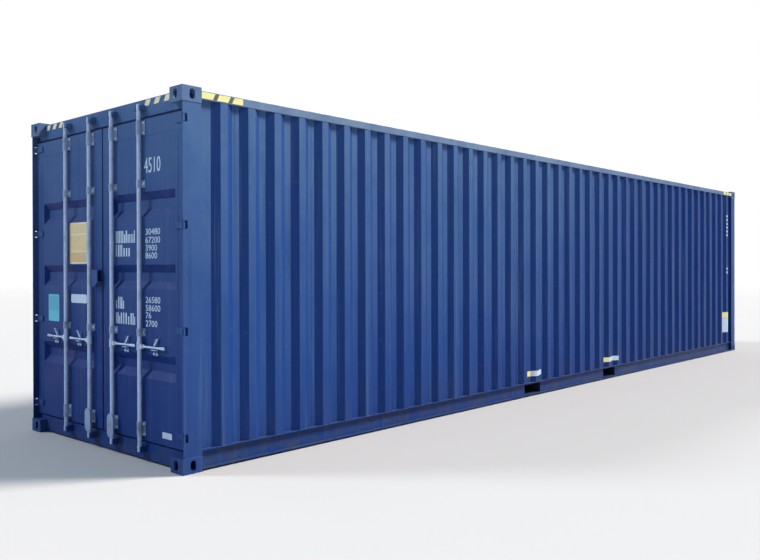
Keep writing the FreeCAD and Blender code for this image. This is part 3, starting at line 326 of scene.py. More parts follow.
def board_group():
    """Sealed plywood floor boards laid lengthwise, with grain and wheel marks."""
    group, given, result = new_group(
        "Floor Boards", [("Wood", "Color", (0.30, 0.16, 0.075, 1)), ("Dark", "Color", (0.13, 0.065, 0.03, 1)),
                         ("Board Length", "Float", 2.4), ("Board Width", "Float", 0.583)],
        [("Color", "Color"), ("Roughness", "Float"), ("Height", "Float")])
    place = add_node(group, "ShaderNodeTexCoord").outputs["Object"]
    grain = noise(group, place, 14.0, 6.0, 0.7, (0.35, 9.0, 1.0))
    base = blend(group, ramp(group, grain, 0.3, 0.75), given["Wood"], given["Dark"])
    scrape = ramp(group, noise(group, place, 2.0, 5.0, 0.7, (0.25, 6.0, 1.0)), 0.55, 0.72)
    base = blend(group, calc(group, "MULTIPLY", scrape, 0.6), base, (0.20, 0.16, 0.13, 1))
    split = add_node(group, "ShaderNodeSeparateXYZ")
    group.links.new(place, split.inputs[0])
    seams = []
    for axis, span in (("X", "Board Length"), ("Y", "Board Width")):
        wrap = add_node(group, "ShaderNodeMath", operation="PINGPONG")
        group.links.new(split.outputs[axis], wrap.inputs[0])
        half = add_node(group, "ShaderNodeMath", {1: 0.5}, operation="MULTIPLY")
        group.links.new(given[span], half.inputs[0])
        group.links.new(half.outputs[0], wrap.inputs[1])
        seams.append(ramp(group, wrap.outputs[0], 0.004, 0.001))
    seam = calc(group, "MAXIMUM", seams[0], seams[1])
    base = blend(group, calc(group, "MULTIPLY", seam, 0.85), base, (0.02, 0.015, 0.01, 1))
    group.links.new(base, result["Color"])
    group.links.new(calc(group, "ADD", calc(group, "MULTIPLY", grain, 0.25), 0.42), result["Roughness"])
    ridges = calc(group, "MULTIPLY", grain, 0.5)
    group.links.new(calc(group, "SUBTRACT", ridges, calc(group, "MULTIPLY", seam, 0.5)), result["Height"])
    return group


def rubber_group():
    """Seal rubber under blue overspray, gone chalky on its high spots."""
    group, given, result = new_group(
        "Aged Rubber", [("Tone", "Color", (0.018, 0.045, 0.150, 1)), ("Chalk", "Float", 0.5)],
        [("Color", "Color"), ("Roughness", "Float"), ("Height", "Float")])
    place = add_node(group, "ShaderNodeTexCoord").outputs["Object"]
    chalk = ramp(group, noise(group, place, 12.0, 6.0, 0.7), 0.45, 0.8)
    chalk = calc(group, "MULTIPLY", chalk, given["Chalk"])
    base = blend(group, chalk, given["Tone"], (0.035, 0.07, 0.18, 1))
    group.links.new(base, result["Color"])
    rough = calc(group, "ADD", calc(group, "MULTIPLY", noise(group, place, 60.0), 0.25), 0.5)
    group.links.new(rough, result["Roughness"])
    group.links.new(noise(group, place, 90.0, 4.0), result["Height"])
    return group


MAKERS = {"Weathered Paint": paint_group, "Hot Dip Zinc": zinc_group, "Worn Label": label_group,
          "Floor Boards": board_group, "Aged Rubber": rubber_group}


def new_material(name, effect, values, bump=(0.3, 0.001), specular=0.5, metallic=0.0):
    """A Principled material fed by one shared group."""
    material = bpy.data.materials.new(name)
    material.use_nodes = True
    tree = material.node_tree
    shader = tree.nodes["Principled BSDF"]
    shader.inputs["Specular IOR Level"].default_value = specular
    shader.inputs["Metallic"].default_value = metallic
    item = tree.nodes.new("ShaderNodeGroup")
    item.node_tree = bpy.data.node_groups.get(effect) or MAKERS[effect]()
    for label, amount in values.items():
        item.inputs[label].default_value = amount
    tree.links.new(item.outputs["Color"], shader.inputs["Base Color"])
    tree.links.new(item.outputs["Roughness"], shader.inputs["Roughness"])
    relief = add_node(tree, "ShaderNodeBump", {"Strength": bump[0], "Distance": bump[1]})
    tree.links.new(item.outputs["Height"], relief.inputs["Height"])
    tree.links.new(relief.outputs["Normal"], shader.inputs["Normal"])
    return material


def paint_material(name, fade=0.8, streaks=0.3, chips=None, dust=0.3, colour=None, bump=(0.35, 0.004),
                   along=0.0, flats=0.0, foot=0.2, faded=None):
    """Body paint at a given state of wear; along puts painted shade towards the +X end and flats puts painted
    shade on sloped faces.
    """
    paint = bpy.context.scene.container_paint
    return new_material(name, "Weathered Paint", {
        "Fresh": tuple(colour or paint.body_colour), "Faded": tuple(faded or paint.faded_colour),
        "Fade Amount": fade, "Fade Along": along, "Flats Only": flats, "Fade Low": foot, "Streaks": streaks,
        "Chips": paint.chips if chips is None else chips, "Dust": dust}, bump, 0.12)


def kept_material(name, maker, *settings):
    """The named material, made when it is first asked for."""
    return bpy.data.materials.get(name) or maker(name, *settings)


def zinc_material(name, grime=0.4, tone=None):
    """Galvanised steel, as dull as its grime; its blue tint is painted sky reflection."""
    paint = bpy.context.scene.container_paint
    return new_material(name, "Hot Dip Zinc", {"Zinc": tuple(tone or paint.zinc_and_sky_reflection_colour), "Grime": grime},
                        (0.25, 0.0006), 0.5, 0.3)


def catch_material(name):
    """Zinc catch on a base plate painted over with the leaf."""
    paint = bpy.context.scene.container_paint
    material = zinc_material(name, 0.5)
    tree = material.node_tree
    shader = tree.nodes["Principled BSDF"]
    zinc = shader.inputs["Base Color"].links[0].from_node
    cover = tree.nodes.new("ShaderNodeGroup")
    cover.node_tree = bpy.data.node_groups.get("Weathered Paint") or paint_group()
    for label, amount in (("Fresh", tuple(paint.body_colour)), ("Faded", tuple(paint.faded_colour)),
                          ("Fade Amount", 0.8), ("Chips", 0.5)):
        cover.inputs[label].default_value = amount
    split = add_node(tree, "ShaderNodeSeparateXYZ")
    tree.links.new(add_node(tree, "ShaderNodeTexCoord").outputs["Object"], split.inputs[0])
    mask = ramp(tree, split.outputs["X"], LEAF_FACE - 0.0056, LEAF_FACE - 0.0053)
    coat = blend(tree, mask, zinc.outputs["Color"], cover.outputs["Color"])
    tree.links.new(coat, shader.inputs["Base Color"])
    tree.links.new(calc(tree, "MULTIPLY", calc(tree, "SUBTRACT", 1.0, mask), 0.3), shader.inputs["Metallic"])
    return material


def label_material(name, colour, wear=0.3):
    """A label or stencil in one colour, worn through to the paint."""
    paint = bpy.context.scene.container_paint
    return new_material(name, "Worn Label", {"Colour": tuple(colour), "Under": tuple(paint.faded_colour),
                                             "Wear": wear}, (0.15, 0.0004))


# ---- mesh helpers ----------------------------------------------------------
def finish_piece(name, mesh_data, material, body, smooth=40.0):
    """Turn a bmesh into a finished piece riding on its body."""
    name = name.lower().replace(" ", "_")
    bmesh.ops.recalc_face_normals(mesh_data, faces=mesh_data.faces)
    mesh = bpy.data.meshes.new(name)
    mesh_data.to_mesh(mesh)
    mesh_data.free()
    mesh.materials.append(material)
    piece = bpy.data.objects.new(name, mesh)
    bpy.context.scene.collection.objects.link(piece)
    mesh.shade_smooth()
    mesh.set_sharp_from_angle(angle=math.radians(smooth))
    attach(piece, body)
    return piece


def merge_into(target, source):
    """Add one bmesh to another."""
    holder = bpy.data.meshes.new("holder")
    source.to_mesh(holder)
    source.free()
    target.from_mesh(holder)
    bpy.data.meshes.remove(holder)


def loft(target, rings):
    """Skin a row of matching closed outlines, capping the two ends."""
    rows = [[target.verts.new(point) for point in ring] for ring in rings]
    for first, second in zip(rows, rows[1:]):
        count = len(first)
        for index in range(count):
            following = (index + 1) % count
            target.faces.new((first[index], first[following], second[following], second[index]))
    target.faces.new(list(reversed(rows[0])))
    target.faces.new(rows[-1])


def ring_points(centre, first, second, count):
    """A ring of points round a centre in the plane of two directions."""
    centre, first, second = Vector(centre), Vector(first), Vector(second)
    return [centre + first * math.cos(math.tau * i / count) + second * math.sin(math.tau * i / count)
            for i in range(count)]


def bead(target, start, end, size, normal, seed):
    """A weld bead: a low domed ridge with a rippled width along a line."""
    rng = random.Random(seed)
    start, end, normal = Vector(start), Vector(end), Vector(normal).normalized()
    run = end - start
    side = run.normalized().cross(normal)
    steps = max(2, min(220, int(run.length / 0.05)))
    rows = []
    for step in range(steps + 1):
        grow = size * (0.8 + 0.4 * rng.random())
        if step in (0, steps):
            grow *= 0.4
        centre = start + run * step / steps
        rows.append([centre + side * grow * math.cos(math.pi * i / 4) * 0.5
                     + normal * grow * (0.32 * math.sin(math.pi * i / 4) - 0.12) for i in range(5)])
    loft(target, rows)


def plate(target, x, y, z, radius=0.0, segments=5, thick=0.0006):
    """A thin label facing the low end, with rounded corners."""
    (low_y, high_y), (low_z, high_z) = sorted(y), sorted(z)
    if radius <= 0:
        corners = [(low_y, low_z), (high_y, low_z), (high_y, high_z), (low_y, high_z)]
    else:
        corners = []
        for cy, cz, turn in ((high_y - radius, low_z + radius, -90), (high_y - radius, high_z - radius, 0),
                             (low_y + radius, high_z - radius, 90), (low_y + radius, low_z + radius, 180)):
            for step in range(segments + 1):
                angle = math.radians(turn + 90 * step / segments)
                corners.append((cy + radius * math.cos(angle), cz + radius * math.sin(angle)))
    loft(target, [[(x - level, a, b) for a, b in corners] for level in (0.0, thick)])


def bolt(target, centre, size, rise, turn=0.0):
    """A washer and a chamfered bolt head facing the low end."""
    x, y, z = centre

    def ring(level, reach, count, angle=0.0):
        return [(x - level, y + reach * math.cos(angle + math.tau * i / count),
                 z + reach * math.sin(angle + math.tau * i / count)) for i in range(count)]
    loft(target, [ring(0.0, size * 0.78, 20), ring(rise * 0.25, size * 0.78, 20)])
    loft(target, [ring(level, reach, 6, turn) for level, reach in (
        (rise * 0.2, size * 0.58), (rise * 0.85, size * 0.58), (rise, size * 0.48))])


def dome(target, centre, radius, rise, axis=(-1, 0, 0), count=14):
    """A low round rivet or pin head."""
    axis = Vector(axis).normalized()
    first = axis.orthogonal().normalized()
    second = axis.cross(first)
    centre = Vector(centre)
    rings = []
    for share, out in ((0.0, 1.0), (0.45, 0.97), (0.8, 0.72), (1.0, 0.35)):
        rings.append(ring_points(centre + axis * rise * share, first * radius * out, second * radius * out,
                                 count))
    loft(target, rings)


def digits(text, height, start_y, base_z, x, thick, stretch=1.0):
    """Plain stencilled digits as a flat mesh facing the low end, reading left to right."""
    curve = bpy.data.curves.new("Digits", "FONT")
    curve.body = text
    curve.align_x = "LEFT"
    curve.size = height / 0.69
    curve.resolution_u = 3
    holder = bpy.data.objects.new("Digits", curve)
    bpy.context.scene.collection.objects.link(holder)
    bpy.context.view_layer.update()
    mesh = bpy.data.meshes.new_from_object(holder.evaluated_get(bpy.context.evaluated_depsgraph_get()))
    bpy.data.objects.remove(holder)
    bpy.data.curves.remove(curve)
    result = bmesh.new()
    result.from_mesh(mesh)
    bpy.data.meshes.remove(mesh)
    bmesh.ops.remove_doubles(result, verts=result.verts, dist=1e-6)
    bmesh.ops.scale(result, vec=(stretch, 1, 1), verts=result.verts)
    # the text plane's right runs to -Y and its up to +Z
    turn = Matrix(((0, 0, -1, x - thick), (-1, 0, 0, start_y), (0, 1, 0, base_z), (0, 0, 0, 1)))
    bmesh.ops.transform(result, matrix=turn, verts=result.verts)
    extra = bmesh.ops.extrude_face_region(result, geom=result.faces[:])
    moved = [item for item in extra["geom"] if isinstance(item, bmesh.types.BMVert)]
    bmesh.ops.translate(result, vec=(thick * 0.9, 0, 0), verts=moved)
    return result


# ---- pieces ----------------------------------------------------------------
SIDES = (("left", 1, LEFT_LEAF), ("right", -1, RIGHT_LEAF))
RODS = tuple(zip(("outer", "inner"), ROD_Y))
SPECIAL_COATS = {
    "side_wall_left": "Wall paint", "side_wall_right": "Wall paint", "left_door_frame": "Leaf paint",
    "right_door_frame": "Leaf paint", "left_door_panel": "Leaf paint", "right_door_panel": "Leaf paint",
    "door_sill": "Sill paint", "left_rod_guides": "Grimy zinc", "right_rod_guides": "Grimy zinc",
    "door_header": "Frame paint", "door_post_left": "Frame paint",
    "door_post_right": "Frame paint", "top_rail_left": "Top rail paint", "top_rail_right": "Top rail paint",
    "left_handle_retainers": "Catch finish", "right_handle_retainers": "Catch finish",
    "base_rail_left": "Rail paint", "base_rail_right": "Rail paint", "rail_webs": "Rail paint",
    "rod_keepers": "Frame paint"}
SLOT_COATS = {"body_paint": "Body paint", "casting_paint": "Casting paint",
              "underside_paint": "Underside coating", "floor_ply": "Floor plywood", "galvanised": "Zinc",
              "seal_rubber": "Seal rubber"}
# leaf side, low and high Y, low and high Z, colour, corner radius, layer
LABELS = (
    ("left", 0.269, 0.569, 1.575, 1.940, "cream", 0.0, 0),
    ("left", 0.283, 0.555, 1.845, 1.926, "tan", 0.0, 1),
    ("left", 0.283, 0.555, 1.690, 1.828, "tan", 0.0, 1),
    ("left", 0.283, 0.555, 1.592, 1.676, "amber", 0.0, 1),
    ("left", 0.772, 0.974, 1.050, 1.297, "cyan", 0.012, 0),
    ("left", 0.788, 0.958, 1.150, 1.280, "teal", 0.01, 1),
    ("left", 0.272, 0.547, 1.229, 1.306, "white", 0.016, 0))
TONES = {"cream": (0.64, 0.60, 0.44, 1.0), "tan": (0.62, 0.48, 0.24, 1.0), "amber": (0.60, 0.38, 0.17, 1.0),
         "teal": (0.065, 0.33, 0.48, 1.0)}
# first Y, base Z, height, width share, digits
FIGURES = (
    (-0.635, 2.288, 0.118, 0.68, "4510"),
    (-0.650, 1.800, 0.048, 1.2, "30480"), (-0.650, 1.734, 0.048, 1.2, "67200"),
    (-0.650, 1.672, 0.048, 1.2, "3900"), (-0.650, 1.612, 0.048, 1.2, "8600"),
    (-0.650, 1.262, 0.048, 1.2, "26580"), (-0.650, 1.198, 0.048, 1.2, "58600"),
    (-0.650, 1.140, 0.048, 1.2, "76"), (-0.650, 1.076, 0.048, 1.2, "2700"))
# first Y, last Y, low and high Z of the rows of plain strokes beside the figures
STROKES = ((-0.210, -0.514, 1.742, 1.842), (-0.210, -0.430, 1.632, 1.729), (-0.210, -0.365, 1.203, 1.300),
           (-0.210, -0.514, 1.079, 1.172))


def wall_face(x):
    """Distance of the corrugated wall's outer face from the middle plane."""
    half = WAVE_PITCH * WAVE_COUNT / 2
    rise = WALL_CREST - WALL_TROUGH
    if abs(x) >= half:
        return WALL_TROUGH
    step = (x + half) % WAVE_PITCH
    if step <= WAVE_FLAT or step >= WAVE_PITCH - WAVE_FLAT:
        return WALL_TROUGH
    if step < WAVE_FLAT + WAVE_SLOPE:
        return WALL_TROUGH + rise * (step - WAVE_FLAT) / WAVE_SLOPE
    if step <= WAVE_FLAT + WAVE_SLOPE + WAVE_TOP:
        return WALL_CREST
    return WALL_CREST - rise * (step - WAVE_FLAT - WAVE_SLOPE - WAVE_TOP) / WAVE_SLOPE


def wall_corners(low, high):
    """Every X between two limits at which the wall turns."""
    half = WAVE_PITCH * WAVE_COUNT / 2
    rise_end = WAVE_FLAT + WAVE_SLOPE
    top_end = rise_end + WAVE_TOP
    found = {low, high}
    for wave in range(WAVE_COUNT):
        for turn in (WAVE_FLAT, rise_end, top_end, top_end + WAVE_SLOPE):
            x = -half + wave * WAVE_PITCH + turn
            if low < x < high:
                found.add(x)
    return sorted(found)


def wall_patch(target, sign, x_span, z_span, thick):
    """A sticker that follows the waves of a side wall."""
    rows = []
    for x in wall_corners(*x_span):
        face = wall_face(x)
        rows.append([(x, sign * (face + level), z) for level, z in (
            (0.0, z_span[0]), (thick, z_span[0]), (thick, z_span[1]), (0.0, z_span[1]))])
    loft(target, rows)


def slant(target, low, high, z_span, lean, place, thick):
    """A leaning stripe: place maps (along, height, lift) to a point."""
    outline = [(low, z_span[0]), (high, z_span[0]), (high + lean, z_span[1]), (low + lean, z_span[1])]
    loft(target, [[place(a, z, lift) for a, z in outline] for lift in (0.0, thick)])


class CONTAINER_OT_surfaces(bpy.types.Operator):
    """Give every steel, timber and rubber part its weathered surface"""
    bl_idname = "container.surfaces"
    bl_label = "Surfaces"

    def execute(self, context):
        under = context.scene.container_paint.underside_colour
        # Body, wall and top rail paint carry painted shade towards the +X end (along).
        paint_material("Body paint", 0.85, 0.3, along=0.5)
        # The wall paint keeps painted shade on its wave slopes (flats).
        paint_material("Wall paint", 1.0, 0.34, dust=0.3, along=0.8, flats=0.75)
        # The leaf paint is a darker copy of the body paint, painted shade for the door end: darker blue,
        # paler only above 0.75 m, slopes kept dark.
        paint_material("Leaf paint", 0.86, 0.22, dust=0.05, colour=(0.001, 0.019, 0.140, 1.0), flats=0.9,
                       foot=0.75)
        paint_material("Frame paint", 0.92, 0.3)
        paint_material("Top rail paint", 1.0, 0.2, colour=(0.055, 0.105, 0.235, 1.0), along=0.4,
                       faded=(0.150, 0.210, 0.315, 1.0))
        catch_material("Catch finish")
        paint_material("Rail paint", 0.9, 0.3, dust=0.7)
        # The sill paint stays almost unfaded, darker than the rest: painted shade for the sill under the
        # doors.
        paint_material("Sill paint", 0.1, 0.12, dust=0.5)
        paint_material("Casting paint", 0.9, 0.3, chips=0.8, bump=(0.7, 0.006), foot=0.3,
                       faded=(0.115, 0.180, 0.300, 1.0))
        paint_material("Underside coating", 0.15, 0.1, dust=0.8, colour=under)
        zinc_material("Zinc")
        # The guides' zinc is darker from grime, and its blue tint is painted sky reflection.
        zinc_material("Grimy zinc", 0.8, (0.26, 0.35, 0.52, 1.0))
        new_material("Floor plywood", "Floor Boards", {}, (0.3, 0.0008), 0.4)
        new_material("Seal rubber", "Aged Rubber", {}, (0.3, 0.001), 0.3)
        for entry in frame["record"]["subparts"]:
            name = entry["node"]
            coat = SPECIAL_COATS.get(name) or SLOT_COATS[entry["material_slot"]]
            mesh = frame["nodes"][name].data
            mesh.materials.clear()
            mesh.materials.append(bpy.data.materials[coat])
        return {"FINISHED"}


class CONTAINER_OT_handles(bpy.types.Operator):
    """Forge the four swing handles: round root, tapering bar and flared grip"""
    bl_idname = "container.handles"
    bl_label = "Swing handles"

    def execute(self, context):
        material = kept_material("Handle zinc", zinc_material, 0.55)
        for side, sign, _ in SIDES:
            for label, rod in RODS:
                node = "handle_%s_%s" % (side, label)
                low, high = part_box(node)
                middle_x, middle_z = (low[0] + high[0]) / 2, (low[2] + high[2]) / 2
                half_x, half_z = (high[0] - low[0]) / 2, (high[2] - low[2]) / 2
                work = bmesh.new()
                rings = []
                for reach, wide, thick in ((0.025, 0.55, 0.8), (0.030, 0.86, 0.96), (0.040, 0.92, 0.98),
                                           (0.052, 0.84, 0.92), (0.075, 0.62, 0.80), (0.120, 0.58, 0.78),
                                           (0.205, 0.54, 0.76), (0.225, 0.50, 0.74), (0.260, 0.62, 0.70),
                                           (0.300, 0.80, 0.66), (0.330, 0.94, 0.66), (0.343, 0.90, 0.62),
                                           (0.349, 0.60, 0.45)):
                    ring = []
                    for index in range(16):
                        angle = math.tau * index / 16
                        cosine, sine = math.cos(angle), math.sin(angle)
                        round_x = math.copysign(abs(cosine) ** 0.5, cosine) * half_x * thick
                        round_z = math.copysign(abs(sine) ** 0.5, sine) * half_z * wide
                        ring.append((middle_x + round_x, sign * (rod + reach), middle_z + round_z))
                    rings.append(ring)
                loft(work, rings)
                piece = finish_piece("forged_handle_%s_%s" % (side, label), work, material,
                                     "%s_%s_handle" % (side, label), 50)
                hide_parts(node)
        return {"FINISHED"}


class CONTAINER_OT_fixings(bpy.types.Operator):
    """Bolt the rod guides and handle catches to each leaf, and head the hinge pins"""
    bl_idname = "container.fixings"
    bl_label = "Bolts and pins"

    def execute(self, context):
        size = context.scene.container_fittings.bolt_size
        material = kept_material("Bolt zinc", zinc_material, 0.7)
        for side, sign, body in SIDES:
            work = bmesh.new()
            rng = random.Random(7 + sign)
            for _, rod in RODS:
                for level, tall in zip(GUIDE_LEVELS, GUIDE_HEIGHTS):
                    rows = (-tall / 2 + 0.018, tall / 2 - 0.018) if tall > 0.08 else (0.0,)
                    for across in (-0.038, 0.038):
                        for up in rows:
                            bolt(work, (LEAF_FACE - 0.004, sign * rod + across, level + up), size, 0.011,
                                 turn=rng.random())
                for across in (-0.020, 0.020):
                    bolt(work, (LEAF_FACE - 0.005, sign * (rod + CATCH_OFFSET) + across, 0.866), size * 0.8,
                         0.009, turn=rng.random())
            finish_piece("Bolts %s leaf" % side, work, material, body, 30)
        work = bmesh.new()
        for _, sign, _ in SIDES:
            for level in HINGE_LEVELS:
                x, y = HINGE_PIN[0], sign * HINGE_PIN[1]
                for up in (0.044, -0.044):
                    dome(work, (x, y, level + up), 0.0088, 0.004, (0, 0, up))
                for up in (0.0275, -0.0275):
                    loft(work, [ring_points((x, y, level + up + shift), (0.0115, 0, 0), (0, 0.0115, 0), 18)
                                for shift in (-0.0021, 0.0021)])
        finish_piece("Hinge pin heads", work, kept_material("Body paint", paint_material), ROOT)
        return {"FINISHED"}


class CONTAINER_OT_catches(bpy.types.Operator):
    """Head the rivets of each handle catch"""
    bl_idname = "container.catches"
    bl_label = "Catch rivets"

    def execute(self, context):
        material = kept_material("Bolt zinc", zinc_material, 0.7)
        for side, sign, body in SIDES:
            work = bmesh.new()
            for _, rod in RODS:
                centre = sign * (rod + CATCH_OFFSET)
                dome(work, (LEAF_FACE - 0.0145, centre + sign * 0.030, 0.978), 0.008, 0.005)
                dome(work, (LEAF_FACE - 0.0145, centre - sign * 0.014, 0.929), 0.004, 0.003)
            finish_piece("Catch rivets %s" % side, work, material, body, 50)
        return {"FINISHED"}


class CONTAINER_OT_welds(bpy.types.Operator):
    """Run weld beads along the seams of the frame, walls and leaves"""
    bl_idname = "container.welds"
    bl_label = "Weld beads"

    def execute(self, context):
        size = context.scene.container_fittings.weld_size
        material = kept_material("Body paint", paint_material)
        leaf_coat = kept_material("Leaf paint", paint_material)
        work = bmesh.new()
        cast = HALF_LENGTH - CASTING_LENGTH
        seed = 1
        for sign in (-1, 1):
            face = sign * WELD_FACE
            for z, up in ((CASTING_HEIGHT, 1), (TOP - CASTING_HEIGHT, -1)):
                bead(work, (-6.086, face, z), (-cast, face, z), size, (0, sign, up), seed)
                bead(work, (-6.032, sign * 1.060, z), (-6.032, sign * 1.166, z), size, (-1, 0, up), seed + 1)
                bead(work, (cast, face, z), (6.090, face, z), size, (0, sign, up), seed + 2)
                bead(work, (6.0925, sign * 1.117, z), (6.0925, sign * 1.213, z), size, (1, 0, up), seed + 3)
                seed += 4
            for end in (-1, 1):
                for low, high in ((0.018, 0.116), (2.814, 2.870)):
                    bead(work, (end * cast, face, low), (end * cast, face, high), size, (-end, sign, 0),
                         seed)
                    seed += 1
            for z, run in ((0.0175, 0.097), (2.8705, -0.09)):
                bead(work, (-6.0325, sign * 1.0575, z), (-6.0325, sign * 1.0575, z + run), size,
                     (-1, -sign, 0), seed)
                seed += 1
            # the wall's foot and head follow the waves
            for z, up in ((0.1625, 1), (2.8115, -1)):
                turns = wall_corners(-cast + 0.004, cast - 0.004)
                for first, second in zip(turns, turns[1:]):
                    bead(work, (first, sign * wall_face(first), z), (second, sign * wall_face(second), z),
                         size * 0.8, (0, sign, up), seed)
                    seed += 1
            # upright seams between wall sheets
            for wave in range(4, WAVE_COUNT, 4):
                x = -WAVE_PITCH * WAVE_COUNT / 2 + wave * WAVE_PITCH
                bead(work, (x, sign * 1.1765, 0.166), (x, sign * 1.1765, 2.808), size * 0.7, (0, sign, 0),
                     seed)
                seed += 1
        finish_piece("Frame weld beads", work, material, ROOT, 60)
        for side, sign, body in SIDES:
            work = bmesh.new()
            near, far = 0.110, 1.098
            for start, end in (((near, 2.581), (far, 2.581)), ((near, 0.284), (far, 0.284)),
                               ((near, 0.284), (near, 2.581)), ((far, 0.284), (far, 2.581))):
                bead(work, (LEAF_FACE, sign * start[0], start[1]), (LEAF_FACE, sign * end[0], end[1]),
                     size * 0.9, (-1, 0, 0), seed)
                seed += 1
            for level in HINGE_LEVELS:
                for z in (level - 0.025, level + 0.025):
                    bead(work, (LEAF_FACE - 0.0005, sign * 1.078, z), (LEAF_FACE - 0.0005, sign * 1.182, z),
                         size * 0.8, (-1, 0, 1 if z > level else -1), seed)
                    seed += 1
            if side == "left":
                for z in (1.3795, 1.5205):
                    bead(work, (LEAF_FACE - 0.0005, 0.060, z), (LEAF_FACE - 0.0005, 0.112, z), size * 0.7,
                         (-1, 0, 0), seed)
            finish_piece("Leaf weld beads %s" % side, work, leaf_coat, body, 60)
        return {"FINISHED"}


class CONTAINER_OT_labels(bpy.types.Operator):
    """Stick the plain coloured labels and the riveted plate on the leaves"""
    bl_idname = "container.labels"
    bl_label = "Leaf labels"

    def execute(self, context):
        marks = context.scene.container_markings
        bodies = {"left": LEFT_LEAF, "right": RIGHT_LEAF}
        for colour in ("cream", "tan", "amber", "white", "cyan", "teal"):
            for side in ("left", "right"):
                chosen = [row for row in LABELS if row[0] == side and row[5] == colour]
                if not chosen:
                    continue
                work = bmesh.new()
                for _, low_y, high_y, low_z, high_z, _, radius, layer in chosen:
                    plate(work, LEAF_FACE - LABEL_GAP - layer * marks.label_rise, (low_y, high_y),
                          (low_z, high_z), radius, 5, marks.label_rise)
                paint = TONES.get(colour) or getattr(marks, colour)
                tone = label_material("Label " + colour, paint, 0.3)
                finish_piece("Labels %s %s" % (side, colour), work, tone, bodies[side], 30)
        work = bmesh.new()
        plate(work, LEAF_FACE - LABEL_GAP, (-1.008, -0.881), (0.224, 0.271), 0.004, 4, 0.0016)
        tone = label_material("Data plate", (0.40, 0.48, 0.60, 1.0), 0.45)
        finish_piece("Data plate", work, tone, RIGHT_LEAF, 30)
        work = bmesh.new()
        for y in (-1.002, -0.887):
            for z in (0.230, 0.265):
                dome(work, (LEAF_FACE - 0.0016, y, z), 0.0028, 0.0016, count=10)
        finish_piece("Data plate rivets", work, kept_material("Bolt zinc", zinc_material, 0.7), RIGHT_LEAF,
                     50)
        return {"FINISHED"}


class CONTAINER_OT_figures(bpy.types.Operator):
    """Stencil the plain numbers and bars on the right leaf"""
    bl_idname = "container.figures"
    bl_label = "Leaf figures"

    def execute(self, context):
        marks = context.scene.container_markings
        work = bmesh.new()
        for start, base, tall, wide, text in FIGURES:
            merge_into(work, digits(text, tall, start, base, LEAF_FACE - LABEL_GAP, marks.label_rise, wide))
        rng = random.Random(45)
        for first, last, low, high in STROKES:
            place = first
            while place - 0.020 > last:
                wide = rng.choice((0.012, 0.014, 0.018))
                drop = rng.choice((0.0, 0.0, 0.3)) * (high - low)
                plate(work, LEAF_FACE - LABEL_GAP, (place - wide, place), (low, high - drop), 0.0, 1,
                      marks.label_rise)
                place -= wide + rng.choice((0.010, 0.012, 0.020))
        tone = label_material("Stencil white", marks.white, 0.4)
        finish_piece("Leaf figures", work, tone, RIGHT_LEAF, 30)
        return {"FINISHED"}


class CONTAINER_OT_stripes(bpy.types.Operator):
    """Stripe the tops of the ends to warn of a high box"""
    bl_idname = "container.stripes"
    bl_label = "Height stripes"

    def execute(self, context):
        marks = context.scene.container_markings
        thick = marks.label_rise
        yellow, black, pale = bmesh.new(), bmesh.new(), bmesh.new()
        for low, high in ((-0.955, -0.612), (0.742, 1.040)):
            step = (high - low) / 5
            for index in range(0, 5, 2):
                start = low + index * step
                slant(pale, start, start + step, (2.823, 2.870), -0.030,
                      lambda a, z, lift: (HEADER_LOW - LABEL_GAP - lift, a, z), thick)
        rail = RAIL_FACE + LABEL_GAP
        for sign in (-1, 1):
            for end in (-1, 1):
                low, high = sorted((end * 5.514, end * 5.914))
                loft(yellow, [[(low, sign * face, 2.818), (high, sign * face, 2.818),
                               (high, sign * face, 2.867), (low, sign * face, 2.867)]
                              for face in (rail, rail + thick)])
                for share in (0.26, 0.63):
                    start = low + share * (high - low)
                    slant(black, start, start + 0.038, (2.8185, 2.8665), 0.025,
                          lambda a, z, lift: (a, sign * (rail + thick + lift), z), thick * 0.6)
        for title, work, coat, colour, wear in (
                ("Header stripes", pale, "Stripe pale", (0.70, 0.66, 0.42, 1.0), 0.35),
                ("Rail stripes yellow", yellow, "Stripe yellow", marks.yellow, 0.4),
                ("Rail stripes black", black, "Stripe black", (0.05, 0.055, 0.03, 1.0), 0.3)):
            finish_piece(title, work, label_material(coat, colour, wear), ROOT, 30)
        return {"FINISHED"}


class CONTAINER_OT_wall_marks(bpy.types.Operator):
    """Put the plain stickers and numbers on the side walls"""
    bl_idname = "container.wall_marks"
    bl_label = "Wall stickers"

    def execute(self, context):
        marks = context.scene.container_markings
        thick = marks.label_rise
        yellow, white = bmesh.new(), bmesh.new()
        for sign in (-1, 1):
            for low, high in ((-1.156, -0.829), (0.853, 1.241)):
                middle = low + (high - low) * 0.3
                wall_patch(yellow, sign, (low, middle), (0.230, 0.292), thick)
                wall_patch(white, sign, (middle, high), (0.230, 0.292), thick)
            wall_patch(yellow, sign, (5.444, 5.809), (0.610, 0.712), thick)
            wall_patch(white, sign, (5.444, 5.809), (0.354, 0.606), thick)
            for low, high in ((2.059, 2.468), (1.365, 1.525)):
                rows = int((high - low) / 0.068)
                for row in range(rows):
                    z = high - 0.05 - row * 0.068
                    wall_patch(white, sign, (5.672, 5.722), (z, z + 0.040), thick)
        finish_piece("Wall stickers yellow", yellow, label_material("Wall yellow", marks.yellow, 0.4), ROOT,
                     30)
        finish_piece("Wall stickers white", white, label_material("Wall white", marks.white, 0.4), ROOT,
                     30)
        return {"FINISHED"}


